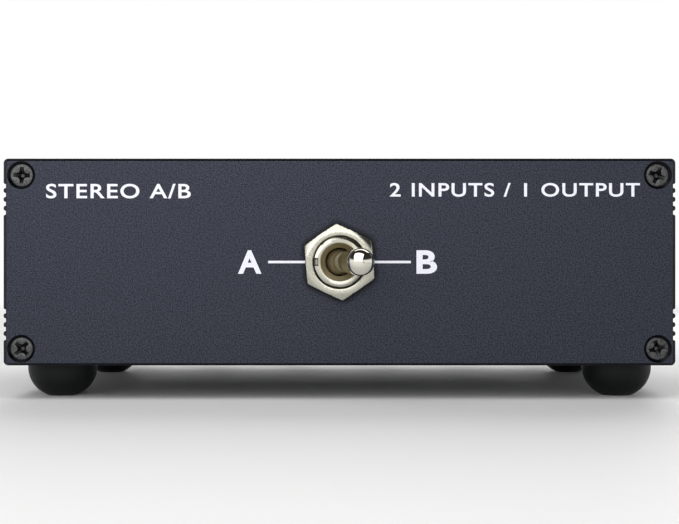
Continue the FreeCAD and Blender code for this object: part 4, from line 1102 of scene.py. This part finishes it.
def text_mesh(text, x, z, width, height, swell):
    """Swelled letters as a thin slab, middled on a point of the panel."""
    curve = bpy.data.curves.new(text, "FONT")
    curve.body, curve.offset, curve.space_character = text, swell, TRACKING
    curve.extrude, curve.resolution_u = TEXT_SLAB, CURVE_STEPS
    mesh = settle(stand(text, curve), text)
    across = [vertex.co.x for vertex in mesh.vertices]
    up = [vertex.co.y for vertex in mesh.vertices]
    scale_x, scale_z = width / (max(across) - min(across)), height / (max(up) - min(up))
    middle_x, middle_y = (max(across) + min(across)) / 2, (max(up) + min(up)) / 2
    for vertex in mesh.vertices:
        right, above = (vertex.co.x - middle_x) * scale_x, (vertex.co.y - middle_y) * scale_z
        vertex.co = Vector((x + right, -INK if vertex.co.z > 0 else 0.0, z + above)) * MM
    return mesh


def print_on(name, texts, lines, face, turn):
    """Joins one panel's print into one piece and lays it on the panel's outer face."""
    work = bmesh.new()
    for row in texts:
        work.from_mesh(text_mesh(*row))
    for x, z, width, height in lines:
        low = (x - width / 2, -INK, z - height / 2)
        high = (x + width / 2, 0, z + height / 2)
        work.from_mesh(block_mesh("line", low, high))
    bmesh.ops.remove_doubles(work, verts=work.verts, dist=DOUBLES_WITHIN)
    mesh = as_mesh(name, work)
    mesh.transform(Matrix.Translation((0, face, MIDDLE)) @ Matrix.Rotation(turn, 4, "Z"))
    piece = stand(name, mesh)
    put_on(piece, "white_ink")
    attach(piece, "root")
    print(name, "with", len(texts), "texts and", len(lines), "lines")


print_on("front_print", FRONT_TEXTS, FRONT_LINES, FRONT, 0)
print_on("rear_print", REAR_TEXTS, REAR_LINES, REAR, math.pi)

# %% [markdown]
# ## Floor and light
#
# The floor is plain and pale. A floor that simply ended would draw a line across the view, so
# with distance its paint turns into the white of the room, and only the shadow close to the box
# tells that it is there.

# %% Floor
FLOOR_SIZE, FLOOR_ROUGHNESS = 6.0, 0.6
FLOOR_NEAR, FLOOR_FAR = 0.2, 0.8
FLOOR_COLOURS, CLOUDS_PER_METRE, ROOM_WHITE = ("#f8f8f8", "#fdfdfd"), 4.0, "#ffffff"


def floor_paint():
    """Pale matt paint that brightens into the white room with distance."""
    material, add, place = new_material("floor_paint")
    away = add(VECTOR, [place], operation="LENGTH").outputs["Value"]
    span = [away, FLOOR_NEAR, FLOOR_FAR]
    fade = add("ShaderNodeMapRange", span, interpolation_type="SMOOTHSTEP")
    clouds = add("ShaderNodeTexNoise", {"Vector": place, "Scale": CLOUDS_PER_METRE})
    colour = add("ShaderNodeValToRGB", [clouds])
    for stop, hex_colour in zip(colour.color_ramp.elements, FLOOR_COLOURS):
        stop.color = to_linear(hex_colour)
    inputs = {"Base Color": colour, "Roughness": FLOOR_ROUGHNESS}
    paint = add("ShaderNodeBsdfPrincipled", inputs)
    glow = add("ShaderNodeEmission", [to_linear(ROOM_WHITE)])
    mixed = add("ShaderNodeMixShader", [fade, paint, glow])
    add("ShaderNodeOutputMaterial", [mixed])
    return material


half = FLOOR_SIZE / 2
sheet = bpy.data.meshes.new("floor")
corners = [(x * half, y * half, 0) for x, y in ((-1, -1), (1, -1), (1, 1), (-1, 1))]
sheet.from_pydata(corners, [], [(0, 1, 2, 3)])
floor = stand("floor", sheet)
floor.data.materials.append(floor_paint())
floor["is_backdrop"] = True
print("floor", FLOOR_SIZE, "m square")

# %% [markdown]
# Metal shows whatever surrounds it, so the surroundings need some shape. One colour all round
# would leave the nickel and the anodised skin flat. So the room is white near the horizon and dark
# overhead, as in a studio with white walls and no lit ceiling. One soft lamp hangs in front of the
# box and one behind.

# %% Sky and lamps
SKY_STOPS = ((0.0, "#ffffff"), (0.2, "#ffffff"), (0.36, "#3a3735"), (1.0, "#2a2826"))
LAMP_SIZE = (0.6, 0.6)
LAMPS = {"front_lamp": ((-0.12, -0.33, 0.33), 2.2), "rear_lamp": ((0.08, 0.38, 0.32), 2.0)}


def build_sky():
    world = bpy.data.worlds.new("sky")
    bpy.context.scene.world = world
    world.use_nodes = True
    world.node_tree.nodes.clear()
    add = partial(add_node, world.node_tree)
    direction = add("ShaderNodeTexCoord").outputs["Generated"]
    height = add("ShaderNodeSeparateXYZ", [direction]).outputs["Z"]
    ramp = add("ShaderNodeValToRGB", [height])
    stops = ramp.color_ramp.elements
    while len(stops) < len(SKY_STOPS):
        stops.new(0.5)
    for stop, (position, hex_colour) in zip(stops, SKY_STOPS):
        stop.position = position
        stop.color = to_linear(hex_colour)
    light = add("ShaderNodeBackground", [ramp])
    add("ShaderNodeOutputWorld", [light])


def soft_lamp(name, place, power):
    """A rectangular soft lamp that faces the middle of the case."""
    data = bpy.data.lights.new(name, "AREA")
    data.shape = "RECTANGLE"
    data.size, data.size_y = LAMP_SIZE
    data.energy = power
    lamp = bpy.data.objects.new(name, data)
    lamp.location = place
    aim = Vector((0, 0, MIDDLE)) - Vector(place)
    lamp.rotation_euler = aim.to_track_quat("-Z", "Y").to_euler()
    bpy.context.scene.collection.objects.link(lamp)


build_sky()
for name, (place, power) in LAMPS.items():
    soft_lamp(name, place, power)
print("sky and", len(LAMPS), "soft lamps")

# %% Sizes and finish
low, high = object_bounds()
print("dressed model", [round(v / MM, 2) for v in high - low], "mm")
